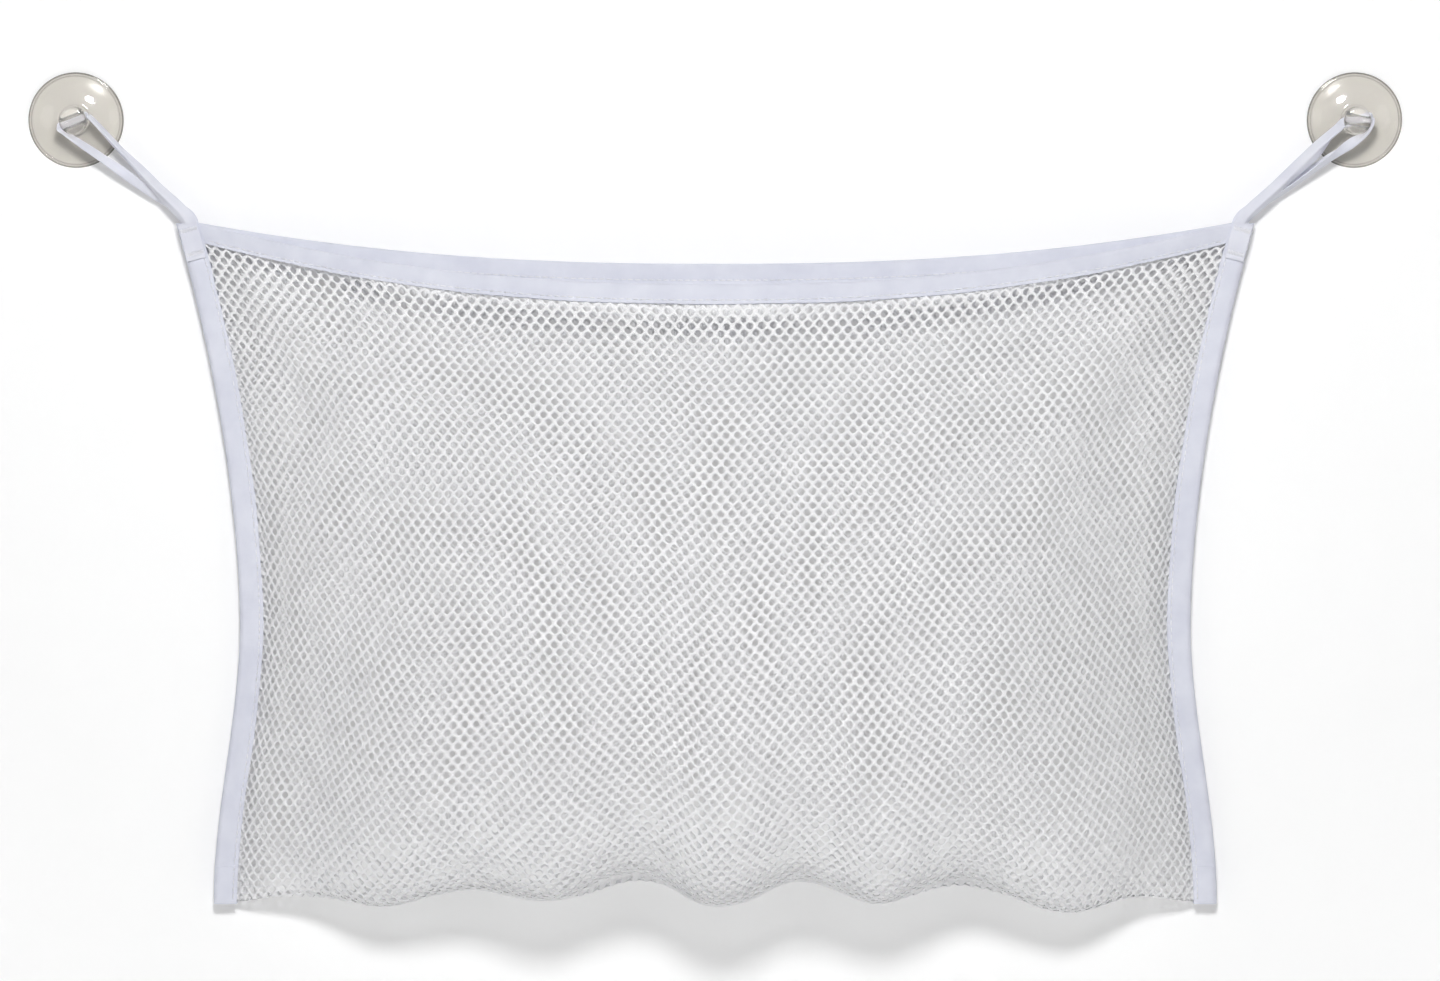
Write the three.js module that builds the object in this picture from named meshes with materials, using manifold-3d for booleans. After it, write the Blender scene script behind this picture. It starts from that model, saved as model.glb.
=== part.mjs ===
// Bath toy organizer: a net bag that hangs on a bathroom wall from two clear suction cups.
// Sizes are in millimetres. The origin lies on the wall, midway between the two cups.
// +X is to the right, +Z is up and the wall is the plane y = 0, so the bag hangs at -Y.

import * as THREE from "three";
import { mergeVertices } from "three/addons/utils/BufferGeometryUtils.js";
import Module from "manifold-3d";

const wasm = await Module();
wasm.setup();

// Gap kept between pieces that touch on the real object.
const CLEARANCE = 0.3;

// Suction cups.
const CUP_SPACING = 536;
const CUP_DIAMETER = 40;
const CUP_RIM_FACE = 2.4;
const CUP_RIM_HEIGHT = 0.9;
const CUP_HOLLOW = 2.6;
const CUP_CROWN = 5.2;
const KNOB_DIAMETER = 11.5;
const KNOB_HEIGHT = 8.2;
const KNOB_EDGE_RADIUS = 1.8;
const KNOB_FILLET = 2.4;
const HOLE_DIAMETER = 5.2;
const HOLE_COVER = 1.8;
const LEFT_HOLE_TILT = 22;
const RIGHT_HOLE_TILT = 12;

// Bag outline, measured over the side bindings and down from the cup centres.
const TOP_WIDTH = 452;
const WAIST_WIDTH = 401;
const FOOT_WIDTH = 425;
const CORNER_DROP = 43;
const WAIST_DROP = 210;
const FOOT_DROP = 331;
const SIDE_FLARE = 1.8;

// Bag depth, mouth and bottom.
const BELLY_DEPTH = 80;
const MOUTH_REACH = 28;
const FRONT_HEM_SAG = 24;
const REAR_HEM_SAG = 17;
const HEM_CURVE = 2.4;
const FLOOR_INSET = 1;
const FLOOR_ARCH = 11;
const FLOOR_LOBE_PITCH = 73;
const FLOOR_LOBE_RISE = 3.5;

// Net, tapes, ribbon and thread.
const NET_THICKNESS = 0.8;
const TAPE_THICKNESS = 0.7;
const BINDING_WIDTH = 10;
const HEM_WIDTH = 8.5;
const NET_MARGIN = 0.7;
const CORNER_TAPER = 45;
const RIBBON_WIDTH = 8;
const RIBBON_THICKNESS = 0.8;
const RIBBON_WALL_GAP = 1.5;
const RIBBON_TURN = 1.2;
const HOLE_PLAY = 0.6;
const TAB_LENGTH = 15;
const THREAD_DIAMETER = 0.6;
const SEAM_INSET = 1.6;
const TACK_WIDTH = 6.5;
const TACK_HEIGHT = 1.8;
const TACK_INSET = 2.6;

// Openings in each net panel: a coarse grid that stands for the fine mesh.
// The panel is a grid of cells in which an opening takes a few cells and the bar beside it takes one.
const OPENINGS_ACROSS = 12;
const OPENINGS_DOWN = 8;
const OPENING_CELLS = 2;

// Facet counts.
const CUP_SEGMENTS = 36;
const CURVE_STEPS = 5;
const BINDING_STATIONS = 26;
const RIBBON_STEPS = 56;
const THREAD_SIDES = 6;

// Places that follow from the sizes.
const knobRadius = KNOB_DIAMETER / 2;
const knobTop = CUP_CROWN + KNOB_HEIGHT;
const holeHeight = knobTop - HOLE_COVER - HOLE_DIAMETER / 2;
const cornerZ = -CORNER_DROP;
const waistZ = -WAIST_DROP;
const footZ = -FOOT_DROP;
const slotHalf = NET_THICKNESS / 2 + CLEARANCE;
const hemHalf = slotHalf + TAPE_THICKNESS;
const seamSpread = (NET_THICKNESS + CLEARANCE) / 2;
const cornerSpread = hemHalf + CLEARANCE;
const cornerHalf = cornerSpread + slotHalf + TAPE_THICKNESS;
const seamY = -(RIBBON_WALL_GAP + RIBBON_THICKNESS + CLEARANCE + cornerHalf);
const netEdge = TAPE_THICKNESS + CLEARANCE;
const barPitch = OPENING_CELLS + 1;
const panelColumns = OPENINGS_ACROSS * barPitch - 1;
const panelRows = OPENINGS_DOWN * barPitch + 1;

const netMaterial = new THREE.MeshStandardMaterial({ color: 0xf3f2f5, roughness: 0.85, metalness: 0 });
const tapeMaterial = new THREE.MeshStandardMaterial({ color: 0xdfe1ee, roughness: 0.8, metalness: 0 });
const ribbonMaterial = new THREE.MeshStandardMaterial({ color: 0xeae9f1, roughness: 0.7, metalness: 0 });
const threadMaterial = new THREE.MeshStandardMaterial({ color: 0xf6f6f8, roughness: 0.6, metalness: 0 });
const cupMaterial = new THREE.MeshStandardMaterial({
  color: 0xd3cec4,
  roughness: 0.15,
  metalness: 0,
  transparent: true,
  opacity: 0.45,
});

const organizer = new THREE.Group();

function addMesh(name, geometry, material, parent = organizer) {
  const mesh = new THREE.Mesh(geometry, material);
  mesh.name = name;
  parent.add(mesh);
  return mesh;
}

function smooth(value) {
  const t = THREE.MathUtils.clamp(value, 0, 1);
  return t * t * (3 - 2 * t);
}

// Turns the faces of a closed indexed geometry round if they point inwards.
function facingOut(geometry) {
  const position = geometry.getAttribute("position");
  const index = geometry.index.array;
  const corners = [new THREE.Vector3(), new THREE.Vector3(), new THREE.Vector3()];
  let volume = 0;
  for (let i = 0; i < index.length; i += 3) {
    corners.forEach((corner, k) => corner.fromBufferAttribute(position, index[i + k]));
    volume += corners[0].dot(corners[1].clone().cross(corners[2]));
  }
  if (volume < 0) {
    geometry.setIndex([...index].reverse());
  }
  return geometry;
}

// Closed solid through a row of sections, each a ring of the same number of points.
// The cap triangles are given as places in the ring.
function loft(sections, caps) {
  const count = sections[0].length;
  const last = (sections.length - 1) * count;
  const index = [];
  for (let start = 0; start < last; start += count) {
    for (let i = 0; i < count; i += 1) {
      const a = start + i;
      const b = start + ((i + 1) % count);
      index.push(a, b, a + count, b, b + count, a + count);
    }
  }
  for (const [a, b, c] of caps) {
    index.push(c, b, a);
    index.push(last + a, last + b, last + c);
  }
  const geometry = new THREE.BufferGeometry().setFromPoints(sections.flat());
  geometry.setIndex(index);
  return facingOut(geometry);
}

function outlineCaps(outline) {
  return THREE.ShapeUtils.triangulateShape(outline, []);
}

// Closed sheet from the points of its two faces, given as rows of one grid each.
// Cells that are not solid are left open, and every edge of the sheet gets a wall.
function sheet(one, other, isSolid) {
  const columns = one[0].length;
  const across = one.length * columns;
  const index = [];
  for (let r = 0; r + 1 < one.length; r += 1) {
    for (let c = 0; c + 1 < columns; c += 1) {
      if (!isSolid(r, c)) {
        continue;
      }
      const start = r * columns + c;
      const ring = [start, start + 1, start + columns + 1, start + columns];
      const beside = [isSolid(r - 1, c), isSolid(r, c + 1), isSolid(r + 1, c), isSolid(r, c - 1)];
      const [p, q, s, t] = ring;
      index.push(p, q, t, q, s, t);
      index.push(p + across, t + across, q + across, q + across, t + across, s + across);
      ring.forEach((from, k) => {
        const to = ring[(k + 1) % ring.length];
        if (!beside[k]) {
          index.push(to, from, from + across, to, from + across, to + across);
        }
      });
    }
  }
  const geometry = new THREE.BufferGeometry().setFromPoints([...one.flat(), ...other.flat()]);
  geometry.setIndex(index);
  return facingOut(geometry);
}

function toSolid(geometry) {
  const bare = new THREE.BufferGeometry();
  bare.setAttribute("position", geometry.getAttribute("position"));
  bare.setIndex(geometry.index);
  const merged = facingOut(mergeVertices(bare, 1e-4));
  return new wasm.Manifold(
    new wasm.Mesh({
      numProp: 3,
      vertProperties: merged.getAttribute("position").array,
      triVerts: new Uint32Array(merged.index.array),
    }),
  );
}

function toGeometry(solid) {
  const mesh = solid.getMesh();
  const geometry = new THREE.BufferGeometry();
  geometry.setAttribute("position", new THREE.BufferAttribute(mesh.vertProperties, 3));
  geometry.setIndex(new THREE.BufferAttribute(mesh.triVerts, 1));
  return geometry;
}

// Cup profile as radius and height above the wall: hollow, flat rim, dome, fillet and knob.
function cupProfile() {
  const rim = CUP_DIAMETER / 2;
  const hollowEdge = rim - CUP_RIM_FACE;
  const neck = knobRadius + KNOB_FILLET;
  const fillet = CUP_CROWN + KNOB_FILLET;
  const path = new THREE.Path();
  path.moveTo(0, CUP_HOLLOW);
  path.quadraticCurveTo(hollowEdge * 0.7, CUP_HOLLOW, hollowEdge, 0);
  path.lineTo(rim, 0);
  path.lineTo(rim, CUP_RIM_HEIGHT);
  path.quadraticCurveTo((rim + neck) / 2, CUP_CROWN - CUP_RIM_HEIGHT, neck, CUP_CROWN);
  path.quadraticCurveTo(knobRadius, CUP_CROWN, knobRadius, fillet);
  path.lineTo(knobRadius, knobTop - KNOB_EDGE_RADIUS);
  path.quadraticCurveTo(knobRadius, knobTop, knobRadius - KNOB_EDGE_RADIUS, knobTop);
  path.lineTo(0, knobTop);
  return path.getPoints(CURVE_STEPS);
}

function cupGeometry() {
  const body = new THREE.LatheGeometry(cupProfile(), CUP_SEGMENTS);
  const hole = new THREE.CylinderGeometry(HOLE_DIAMETER / 2, HOLE_DIAMETER / 2, CUP_DIAMETER, CUP_SEGMENTS / 2);
  hole.rotateZ(Math.PI / 2);
  hole.translate(0, holeHeight, 0);
  return toGeometry(toSolid(body).subtract(toSolid(hole)));
}

// The cup's own axis is +Y with the wall at 0, so it is turned over to stand out towards -Y.
function addCup(name, side, tilt) {
  const place = new THREE.Group();
  place.position.x = (side * CUP_SPACING) / 2;
  place.rotation.y = -THREE.MathUtils.degToRad(tilt);
  organizer.add(place);
  const cup = addMesh(name, cupGeometry(), cupMaterial, place);
  cup.rotation.x = Math.PI;
}

// Half width over the side bindings: a flare above the waist and a soft spread below it.
function sideHalfWidth(z) {
  const waist = WAIST_WIDTH / 2;
  if (z >= waistZ) {
    return waist + (TOP_WIDTH / 2 - waist) * ((z - waistZ) / (cornerZ - waistZ)) ** SIDE_FLARE;
  }
  return waist + (FOOT_WIDTH / 2 - waist) * smooth((waistZ - z) / (waistZ - footZ));
}

// Half width where the net starts to swell, a flat margin inside the bindings.
function innerHalfWidth(z) {
  return sideHalfWidth(z) - BINDING_WIDTH - NET_MARGIN;
}

// Half the distance between the two net layers, which grows where the hems lie between them.
function layerSpread(z) {
  const full = cornerZ - HEM_WIDTH;
  return THREE.MathUtils.lerp(seamSpread, cornerSpread, smooth(1 - (full - z) / CORNER_TAPER));
}

function bindingHalf(z) {
  return layerSpread(z) + slotHalf + TAPE_THICKNESS;
}

// The bag's middle section, from the front hem round the bottom fold up to the rear hem.
// Each point is a share of the belly's depth and a share of the drop from hem to fold.
const SECTION_POINTS = [
  [0, 0],
  [0.16, 0.1],
  [0.62, 0.32],
  [1, 0.66],
  [0.86, 0.91],
  [0.45, 1],
  [0.1, 0.91],
  [0, 0.72],
  [0, 0.48],
  [0, 0.24],
  [0, 0],
];
const FOLD_POINT = 5;
const section = new THREE.SplineCurve(SECTION_POINTS.map(([depth, drop]) => new THREE.Vector2(depth, drop)));
const foldShare = FOLD_POINT / (SECTION_POINTS.length - 1);

const frontPanel = netPanel(-1, FRONT_HEM_SAG, MOUTH_REACH, 0);
const rearPanel = netPanel(1, REAR_HEM_SAG, 0, 1);

// Bottom of the net: arched between the side seams, with soft lobes.
function foldZ(across) {
  const x = across * innerHalfWidth(footZ);
  const lobe = FLOOR_LOBE_RISE * Math.cos((2 * Math.PI * x) / FLOOR_LOBE_PITCH);
  return footZ + FLOOR_INSET + FLOOR_ARCH * (1 - across ** 2) - lobe * (1 - across ** 4);
}

// Middle of the net at a place across (-1 to 1) and along (0 at the hem, 1 at the bottom fold).
function panelPoint(panel, across, along) {
  const share = section.getPoint(THREE.MathUtils.lerp(panel.end, foldShare, along));
  const topZ = cornerZ - netEdge - panel.sag * (1 - Math.abs(across) ** HEM_CURVE);
  const z = THREE.MathUtils.lerp(topZ, foldZ(across), share.y);
  const belly = BELLY_DEPTH * share.x * (1 - Math.abs(across) ** 2.6) ** 0.9;
  const mouth = panel.reach * (1 - across ** 2) * (1 - share.y) ** 2;
  return new THREE.Vector3(
    across * innerHalfWidth(z),
    seamY + panel.towards * layerSpread(z) - belly - mouth,
    z,
  );
}

// Places of the rows along a panel: the first row lies under the hem and the rest are spaced evenly.
function rowPlaces(panel) {
  const middle = new THREE.Curve();
  middle.getPoint = (along) => panelPoint(panel, 0, along);
  const hemShare = HEM_WIDTH / middle.getLength();
  const places = [0];
  for (let row = 0; row < panelRows; row += 1) {
    places.push(middle.getUtoTmapping(THREE.MathUtils.lerp(hemShare, 1, row / (panelRows - 1))));
  }
  return places;
}

function netPanel(towards, sag, reach, end) {
  const panel = { towards, sag, reach, end };
  return { ...panel, rows: rowPlaces(panel) };
}

function acrossAt(column) {
  return -1 + (2 * column) / panelColumns;
}

// One row of the net, with a tongue at each end that lies inside the side binding's fold.
function panelRow(panel, along) {
  const row = [];
  for (let column = 0; column <= panelColumns; column += 1) {
    row.push(panelPoint(panel, acrossAt(column), along));
  }
  const tongue = new THREE.Vector3(NET_MARGIN + BINDING_WIDTH - netEdge, 0, 0);
  return [row[0].clone().sub(tongue), ...row, row[panelColumns].clone().add(tongue)];
}

function gridNormal(grid, r, c) {
  const before = grid[r][Math.max(c - 1, 0)];
  const after = grid[r][Math.min(c + 1, grid[r].length - 1)];
  const above = grid[Math.max(r - 1, 0)][c];
  const below = grid[Math.min(r + 1, grid.length - 1)][c];
  return after.clone().sub(before).cross(below.clone().sub(above)).normalize();
}

// Bars of the net's grid: the row under the hem, the tongues and every further row and column in step.
function isBar(row, column) {
  const isInside = row >= 0 && row < panelRows && column >= 0 && column < panelColumns + 2;
  return isInside && (row % barPitch === 0 || column % barPitch === 0);
}

function netGeometry(panel) {
  const grid = panel.rows.map((along) => panelRow(panel, along));
  const face = (out) =>
    grid.map((row, r) => row.map((point, c) => point.clone().addScaledVector(gridNormal(grid, r, c), out)));
  return sheet(face(NET_THICKNESS / 2), face(-NET_THICKNESS / 2), isBar);
}

// Outline of a tape folded round an edge: across its thickness, and along from the fold.
function foldedTape(slot, width) {
  const half = slot + TAPE_THICKNESS;
  const bevel = TAPE_THICKNESS / 2;
  return [
    [-half, width],
    [-half, bevel],
    [-half + bevel, 0],
    [half - bevel, 0],
    [half, bevel],
    [half, width],
    [slot, width],
    [slot, TAPE_THICKNESS],
    [-slot, TAPE_THICKNESS],
    [-slot, width],
  ].map(([x, y]) => new THREE.Vector2(x, y));
}

function threadOutline() {
  const ring = [];
  for (let i = 0; i < THREAD_SIDES; i += 1) {
    const turn = (2 * Math.PI * i) / THREAD_SIDES;
    ring.push(new THREE.Vector2(Math.cos(turn), Math.sin(turn)).multiplyScalar(THREAD_DIAMETER / 2));
  }
  return ring;
}

// Places along a hem: the net's own columns, with the ends drawn in by an inset.
function hemPlaces(inset) {
  const end = 1 - inset / innerHalfWidth(cornerZ);
  const places = [-end];
  for (let column = 1; column < panelColumns; column += 1) {
    places.push(acrossAt(column));
  }
  return [...places, end];
}

// Frame of a hem at one place: the net's top edge, the way down the net and the way out to the front.
function hemFrame(panel, across) {
  const nudge = 1e-3;
  const edge = panelPoint(panel, across, 0);
  const before = panelPoint(panel, Math.max(across - nudge, -1), 0);
  const along = panelPoint(panel, Math.min(across + nudge, 1), 0).sub(before);
  const down = panelPoint(panel, across, panel.rows[1]).sub(edge).normalize();
  return { edge, down, front: down.clone().cross(along).normalize() };
}

function hemSections(panel, outline, inset, drop, out) {
  return hemPlaces(inset).map((across) => {
    const { edge, down, front } = hemFrame(panel, across);
    return outline.map((point) =>
      edge
        .clone()
        .addScaledVector(down, drop + point.y)
        .addScaledVector(front, out + point.x),
    );
  });
}

function hemGeometry(panel) {
  const outline = foldedTape(slotHalf, HEM_WIDTH);
  return loft(hemSections(panel, outline, 0, -netEdge, 0), outlineCaps(outline));
}

function hemThreadGeometry(panel) {
  const outline = threadOutline();
  const drop = HEM_WIDTH - netEdge - SEAM_INSET;
  const out = hemHalf + CLEARANCE + THREAD_DIAMETER / 2;
  return loft(hemSections(panel, outline, SEAM_INSET, drop, out), outlineCaps(outline));
}

function bindingHeights(top, bottom) {
  const heights = [];
  for (let i = 0; i <= BINDING_STATIONS; i += 1) {
    heights.push(THREE.MathUtils.lerp(top, bottom, i / BINDING_STATIONS));
  }
  return heights;
}

function bindingGeometry(side) {
  const outlineAt = (z) => foldedTape(layerSpread(z) + slotHalf, BINDING_WIDTH);
  const sections = bindingHeights(cornerZ, footZ).map((z) =>
    outlineAt(z).map((point) => new THREE.Vector3(side * (sideHalfWidth(z) - point.y), seamY + point.x, z)),
  );
  return loft(sections, outlineCaps(outlineAt(cornerZ)));
}

function bindingThreadGeometry(side) {
  const outline = threadOutline();
  const inset = BINDING_WIDTH - SEAM_INSET;
  const top = cornerZ - TAB_LENGTH - SEAM_INSET;
  const sections = bindingHeights(top, footZ + SEAM_INSET).map((z) => {
    const y = seamY - bindingHalf(z) - CLEARANCE - THREAD_DIAMETER / 2;
    return outline.map(
      (point) => new THREE.Vector3(side * (sideHalfWidth(z) - inset) + point.x, y + point.y, z),
    );
  });
  return loft(sections, outlineCaps(outline));
}

// Middle of a sewn ribbon end on the side binding, on its front (-1) or rear (1) face.
function tabPoint(side, face, drop) {
  const z = cornerZ - drop;
  const out = bindingHalf(z) + CLEARANCE + RIBBON_THICKNESS / 2;
  return new THREE.Vector3(side * (sideHalfWidth(z) - BINDING_WIDTH / 2), seamY + face * out, z);
}

// Ribbon stations: middle of the ribbon, the way its width lies, and its width there.
// It runs from the front of the corner, through the knob's hole, to the back of the corner.
function ribbonStations(side, tilt) {
  const turn = THREE.MathUtils.degToRad(tilt);
  const hole = new THREE.Vector3((side * CUP_SPACING) / 2, -holeHeight, 0);
  const inward = new THREE.Vector3(Math.cos(turn), 0, Math.sin(turn)).multiplyScalar(-side);
  const bunched = HOLE_DIAMETER - 2 * HOLE_PLAY;
  const bunchedThickness = (RIBBON_WIDTH * RIBBON_THICKNESS) / bunched;
  const flat = new THREE.Vector3(-side, 0, 0);
  const edgeOn = new THREE.Vector3(0, 1, 0);
  const slanted = new THREE.Vector3(-side, 1, 0);
  const nearlyFlat = new THREE.Vector3(-2 * side, 1, 0);
  const atHole = (reach, drop) => hole.clone().addScaledVector(inward, reach).setZ(reach * inward.z - drop);
  const leaving = atHole(knobRadius + RIBBON_TURN, RIBBON_TURN);
  const frontTop = tabPoint(side, -1, -RIBBON_WIDTH / 2);
  const rearTop = tabPoint(side, 1, -RIBBON_WIDTH / 2);
  const leg = rearTop.clone().sub(hole).setY(0).normalize();
  const awayFromLeg = new THREE.Vector3(-side * leg.z, 0, side * leg.x);
  const turned = hole.clone().addScaledVector(awayFromLeg, knobRadius + CLEARANCE + bunchedThickness / 2);
  return [
    { at: tabPoint(side, -1, TAB_LENGTH), wide: flat, width: RIBBON_WIDTH },
    { at: tabPoint(side, -1, TAB_LENGTH / 2), wide: flat, width: RIBBON_WIDTH },
    { at: frontTop, wide: flat, width: RIBBON_WIDTH },
    { at: frontTop.clone().lerp(leaving, 0.35), wide: nearlyFlat, width: RIBBON_WIDTH },
    { at: frontTop.clone().lerp(leaving, 0.7), wide: slanted, width: (RIBBON_WIDTH + bunched) / 2 },
    { at: leaving, wide: edgeOn, width: bunched },
    { at: atHole(knobRadius, 0), wide: edgeOn, width: bunched },
    { at: atHole(0, 0), wide: edgeOn, width: bunched },
    { at: atHole(-knobRadius, 0), wide: edgeOn, width: bunched },
    { at: atHole(-knobRadius - RIBBON_TURN, RIBBON_TURN), wide: edgeOn, width: bunched },
    { at: turned, wide: edgeOn, width: bunched },
    { at: turned.clone().lerp(rearTop, 0.3), wide: slanted, width: (RIBBON_WIDTH + bunched) / 2 },
    { at: turned.clone().lerp(rearTop, 0.65), wide: nearlyFlat, width: RIBBON_WIDTH },
    { at: rearTop, wide: flat, width: RIBBON_WIDTH },
    { at: tabPoint(side, 1, TAB_LENGTH / 2), wide: flat, width: RIBBON_WIDTH },
    { at: tabPoint(side, 1, TAB_LENGTH), wide: flat, width: RIBBON_WIDTH },
  ];
}

// A bevelled ribbon section that keeps the ribbon's area when it is bunched up.
function ribbonOutline(width) {
  const thickness = (RIBBON_WIDTH * RIBBON_THICKNESS) / width;
  const bevel = thickness / 4;
  const [x, y] = [width / 2, thickness / 2];
  return [
    [x, y - bevel],
    [x - bevel, y],
    [bevel - x, y],
    [-x, y - bevel],
    [-x, bevel - y],
    [bevel - x, -y],
    [x - bevel, -y],
    [x, bevel - y],
  ].map(([a, b]) => new THREE.Vector2(a, b));
}

function ribbonSection(path, stations, share) {
  const place = share * (stations.length - 1);
  const first = Math.min(Math.floor(place), stations.length - 2);
  const part = smooth(place - first);
  const [from, to] = [stations[first], stations[first + 1]];
  const centre = path.getPoint(share);
  const along = path.getTangent(share);
  const wide = from.wide.clone().lerp(to.wide, part);
  wide.addScaledVector(along, -wide.dot(along)).normalize();
  const thick = along.clone().cross(wide);
  return ribbonOutline(THREE.MathUtils.lerp(from.width, to.width, part)).map((point) =>
    centre.clone().addScaledVector(wide, point.x).addScaledVector(thick, point.y),
  );
}

function loopGeometry(side, tilt) {
  const stations = ribbonStations(side, tilt);
  const path = new THREE.CatmullRomCurve3(stations.map((station) => station.at));
  const sections = [];
  for (let i = 0; i <= RIBBON_STEPS; i += 1) {
    sections.push(ribbonSection(path, stations, i / RIBBON_STEPS));
  }
  return loft(sections, outlineCaps(ribbonOutline(RIBBON_WIDTH)));
}

// A bar of close stitches that holds the ribbon's ends on the corner.
function tackGeometry() {
  const [x, y] = [TACK_WIDTH / 2, TACK_HEIGHT / 2];
  const shape = new THREE.Shape();
  shape.moveTo(x - y, -y);
  shape.absarc(x - y, 0, y, -Math.PI / 2, Math.PI / 2);
  shape.absarc(y - x, 0, y, Math.PI / 2, (3 * Math.PI) / 2);
  const bar = new THREE.ExtrudeGeometry(shape, {
    depth: THREAD_DIAMETER,
    bevelEnabled: false,
    curveSegments: CURVE_STEPS,
  });
  bar.rotateX(Math.PI / 2);
  return bar;
}

function addTack(name, side, drop) {
  const at = tabPoint(side, -1, drop);
  const lean = tabPoint(side, -1, 0).sub(tabPoint(side, -1, TAB_LENGTH));
  const place = new THREE.Group();
  place.position.set(at.x, at.y - RIBBON_THICKNESS / 2 - CLEARANCE, at.z);
  place.rotation.y = Math.atan2(lean.x, lean.z);
  organizer.add(place);
  addMesh(name, tackGeometry(), threadMaterial, place);
}

const SIDES = [
  { label: "left", side: -1, tilt: LEFT_HOLE_TILT },
  { label: "right", side: 1, tilt: RIGHT_HOLE_TILT },
];

for (const { label, side, tilt } of SIDES) {
  addCup(`${label}_suction_cup`, side, tilt);
  addMesh(`${label}_hanging_loop`, loopGeometry(side, tilt), ribbonMaterial);
  addMesh(`${label}_side_binding`, bindingGeometry(side), tapeMaterial);
  addMesh(`${label}_side_stitching`, bindingThreadGeometry(side), threadMaterial);
  addTack(`${label}_upper_tack`, side, TACK_INSET);
  addTack(`${label}_lower_tack`, side, TAB_LENGTH - TACK_INSET);
}

addMesh("front_net", netGeometry(frontPanel), netMaterial);
addMesh("rear_net", netGeometry(rearPanel), netMaterial);
addMesh("front_hem", hemGeometry(frontPanel), tapeMaterial);
addMesh("rear_hem", hemGeometry(rearPanel), tapeMaterial);
addMesh("front_hem_stitching", hemThreadGeometry(frontPanel), threadMaterial);
addMesh("rear_hem_stitching", hemThreadGeometry(rearPanel), threadMaterial);

export default organizer;
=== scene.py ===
"""Looks of the bath toy organizer: a net bag on ribbon loops and two clear suction cups.

Everything is in metres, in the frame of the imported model: +X right, +Z up, wall at y = 0.
"""

import math
from collections import namedtuple

import bpy
import numpy as np
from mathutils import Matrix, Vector


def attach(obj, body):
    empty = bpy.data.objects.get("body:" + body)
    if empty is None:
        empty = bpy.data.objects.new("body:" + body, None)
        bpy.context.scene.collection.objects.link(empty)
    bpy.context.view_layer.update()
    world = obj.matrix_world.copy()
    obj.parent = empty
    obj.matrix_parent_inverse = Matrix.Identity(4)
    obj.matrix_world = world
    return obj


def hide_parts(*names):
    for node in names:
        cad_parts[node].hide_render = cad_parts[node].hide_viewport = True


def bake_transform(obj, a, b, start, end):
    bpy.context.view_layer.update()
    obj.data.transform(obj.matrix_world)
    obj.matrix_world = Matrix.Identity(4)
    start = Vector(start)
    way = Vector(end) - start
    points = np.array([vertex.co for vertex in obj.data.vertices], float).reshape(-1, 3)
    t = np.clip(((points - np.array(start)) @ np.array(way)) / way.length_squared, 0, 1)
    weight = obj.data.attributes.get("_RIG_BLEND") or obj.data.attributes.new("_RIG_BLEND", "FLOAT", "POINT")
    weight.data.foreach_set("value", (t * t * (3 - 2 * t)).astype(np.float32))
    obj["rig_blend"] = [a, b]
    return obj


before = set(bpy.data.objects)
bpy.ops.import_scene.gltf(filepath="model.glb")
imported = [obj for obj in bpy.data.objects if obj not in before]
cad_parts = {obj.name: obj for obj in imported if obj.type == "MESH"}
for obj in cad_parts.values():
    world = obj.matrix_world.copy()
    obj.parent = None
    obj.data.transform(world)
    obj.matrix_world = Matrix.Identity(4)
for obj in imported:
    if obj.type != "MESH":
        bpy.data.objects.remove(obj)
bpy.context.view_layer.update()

# Sizes shared with the solids.
CLEARANCE = 0.0003
CUP_SPACING = 0.536
CUP_DIAMETER = 0.040
CUP_RIM_FACE = 0.0024
CUP_RIM_HEIGHT = 0.0009
CUP_HOLLOW = 0.0026
CUP_CROWN = 0.0052
KNOB_DIAMETER = 0.0115
KNOB_HEIGHT = 0.0082
KNOB_EDGE_RADIUS = 0.0018
KNOB_FILLET = 0.0024
HOLE_DIAMETER = 0.0052
HOLE_COVER = 0.0018
TOP_WIDTH = 0.452
WAIST_WIDTH = 0.401
FOOT_WIDTH = 0.425
CORNER_DROP = 0.043
WAIST_DROP = 0.210
FOOT_DROP = 0.331
SIDE_FLARE = 1.8
BELLY_DEPTH = 0.080
BELLY_CURVE = 2.6
BELLY_FULLNESS = 0.9
MOUTH_REACH = 0.028
FRONT_HEM_SAG = 0.024
REAR_HEM_SAG = 0.017
HEM_CURVE = 2.4
FLOOR_INSET = 0.001
FLOOR_ARCH = 0.011
FLOOR_LOBE_PITCH = 0.073
FLOOR_LOBE_RISE = 0.0035
FLOOR_LOBE_FADE = 4
NET_THICKNESS = 0.0008
TAPE_THICKNESS = 0.0007
BINDING_WIDTH = 0.010
HEM_WIDTH = 0.0085
NET_MARGIN = 0.0007
CORNER_TAPER = 0.045
RIBBON_WIDTH = 0.008
RIBBON_THICKNESS = 0.0008
RIBBON_WALL_GAP = 0.0015
RIBBON_TURN = 0.0010
TAB_LENGTH = 0.015
SEAM_INSET = 0.0016
TACK_WIDTH = 0.0065
TACK_HEIGHT = 0.0018
TACK_INSET = 0.0026
SECTION_POINTS = np.array([
    (0, 0), (0.16, 0.1), (0.62, 0.32), (1, 0.66), (0.86, 0.91), (0.45, 1),
    (0.1, 0.91), (0, 0.72), (0, 0.48), (0, 0.24), (0, 0),
])
FOLD_POINT = 5

# Ripples (size, rate and phase) in the height and the pitch of the bottom lobes.
LOBE_SWING = (0.4, 11, 0.9)
LOBE_DRIFT = (0.5, 17, 0)

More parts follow.
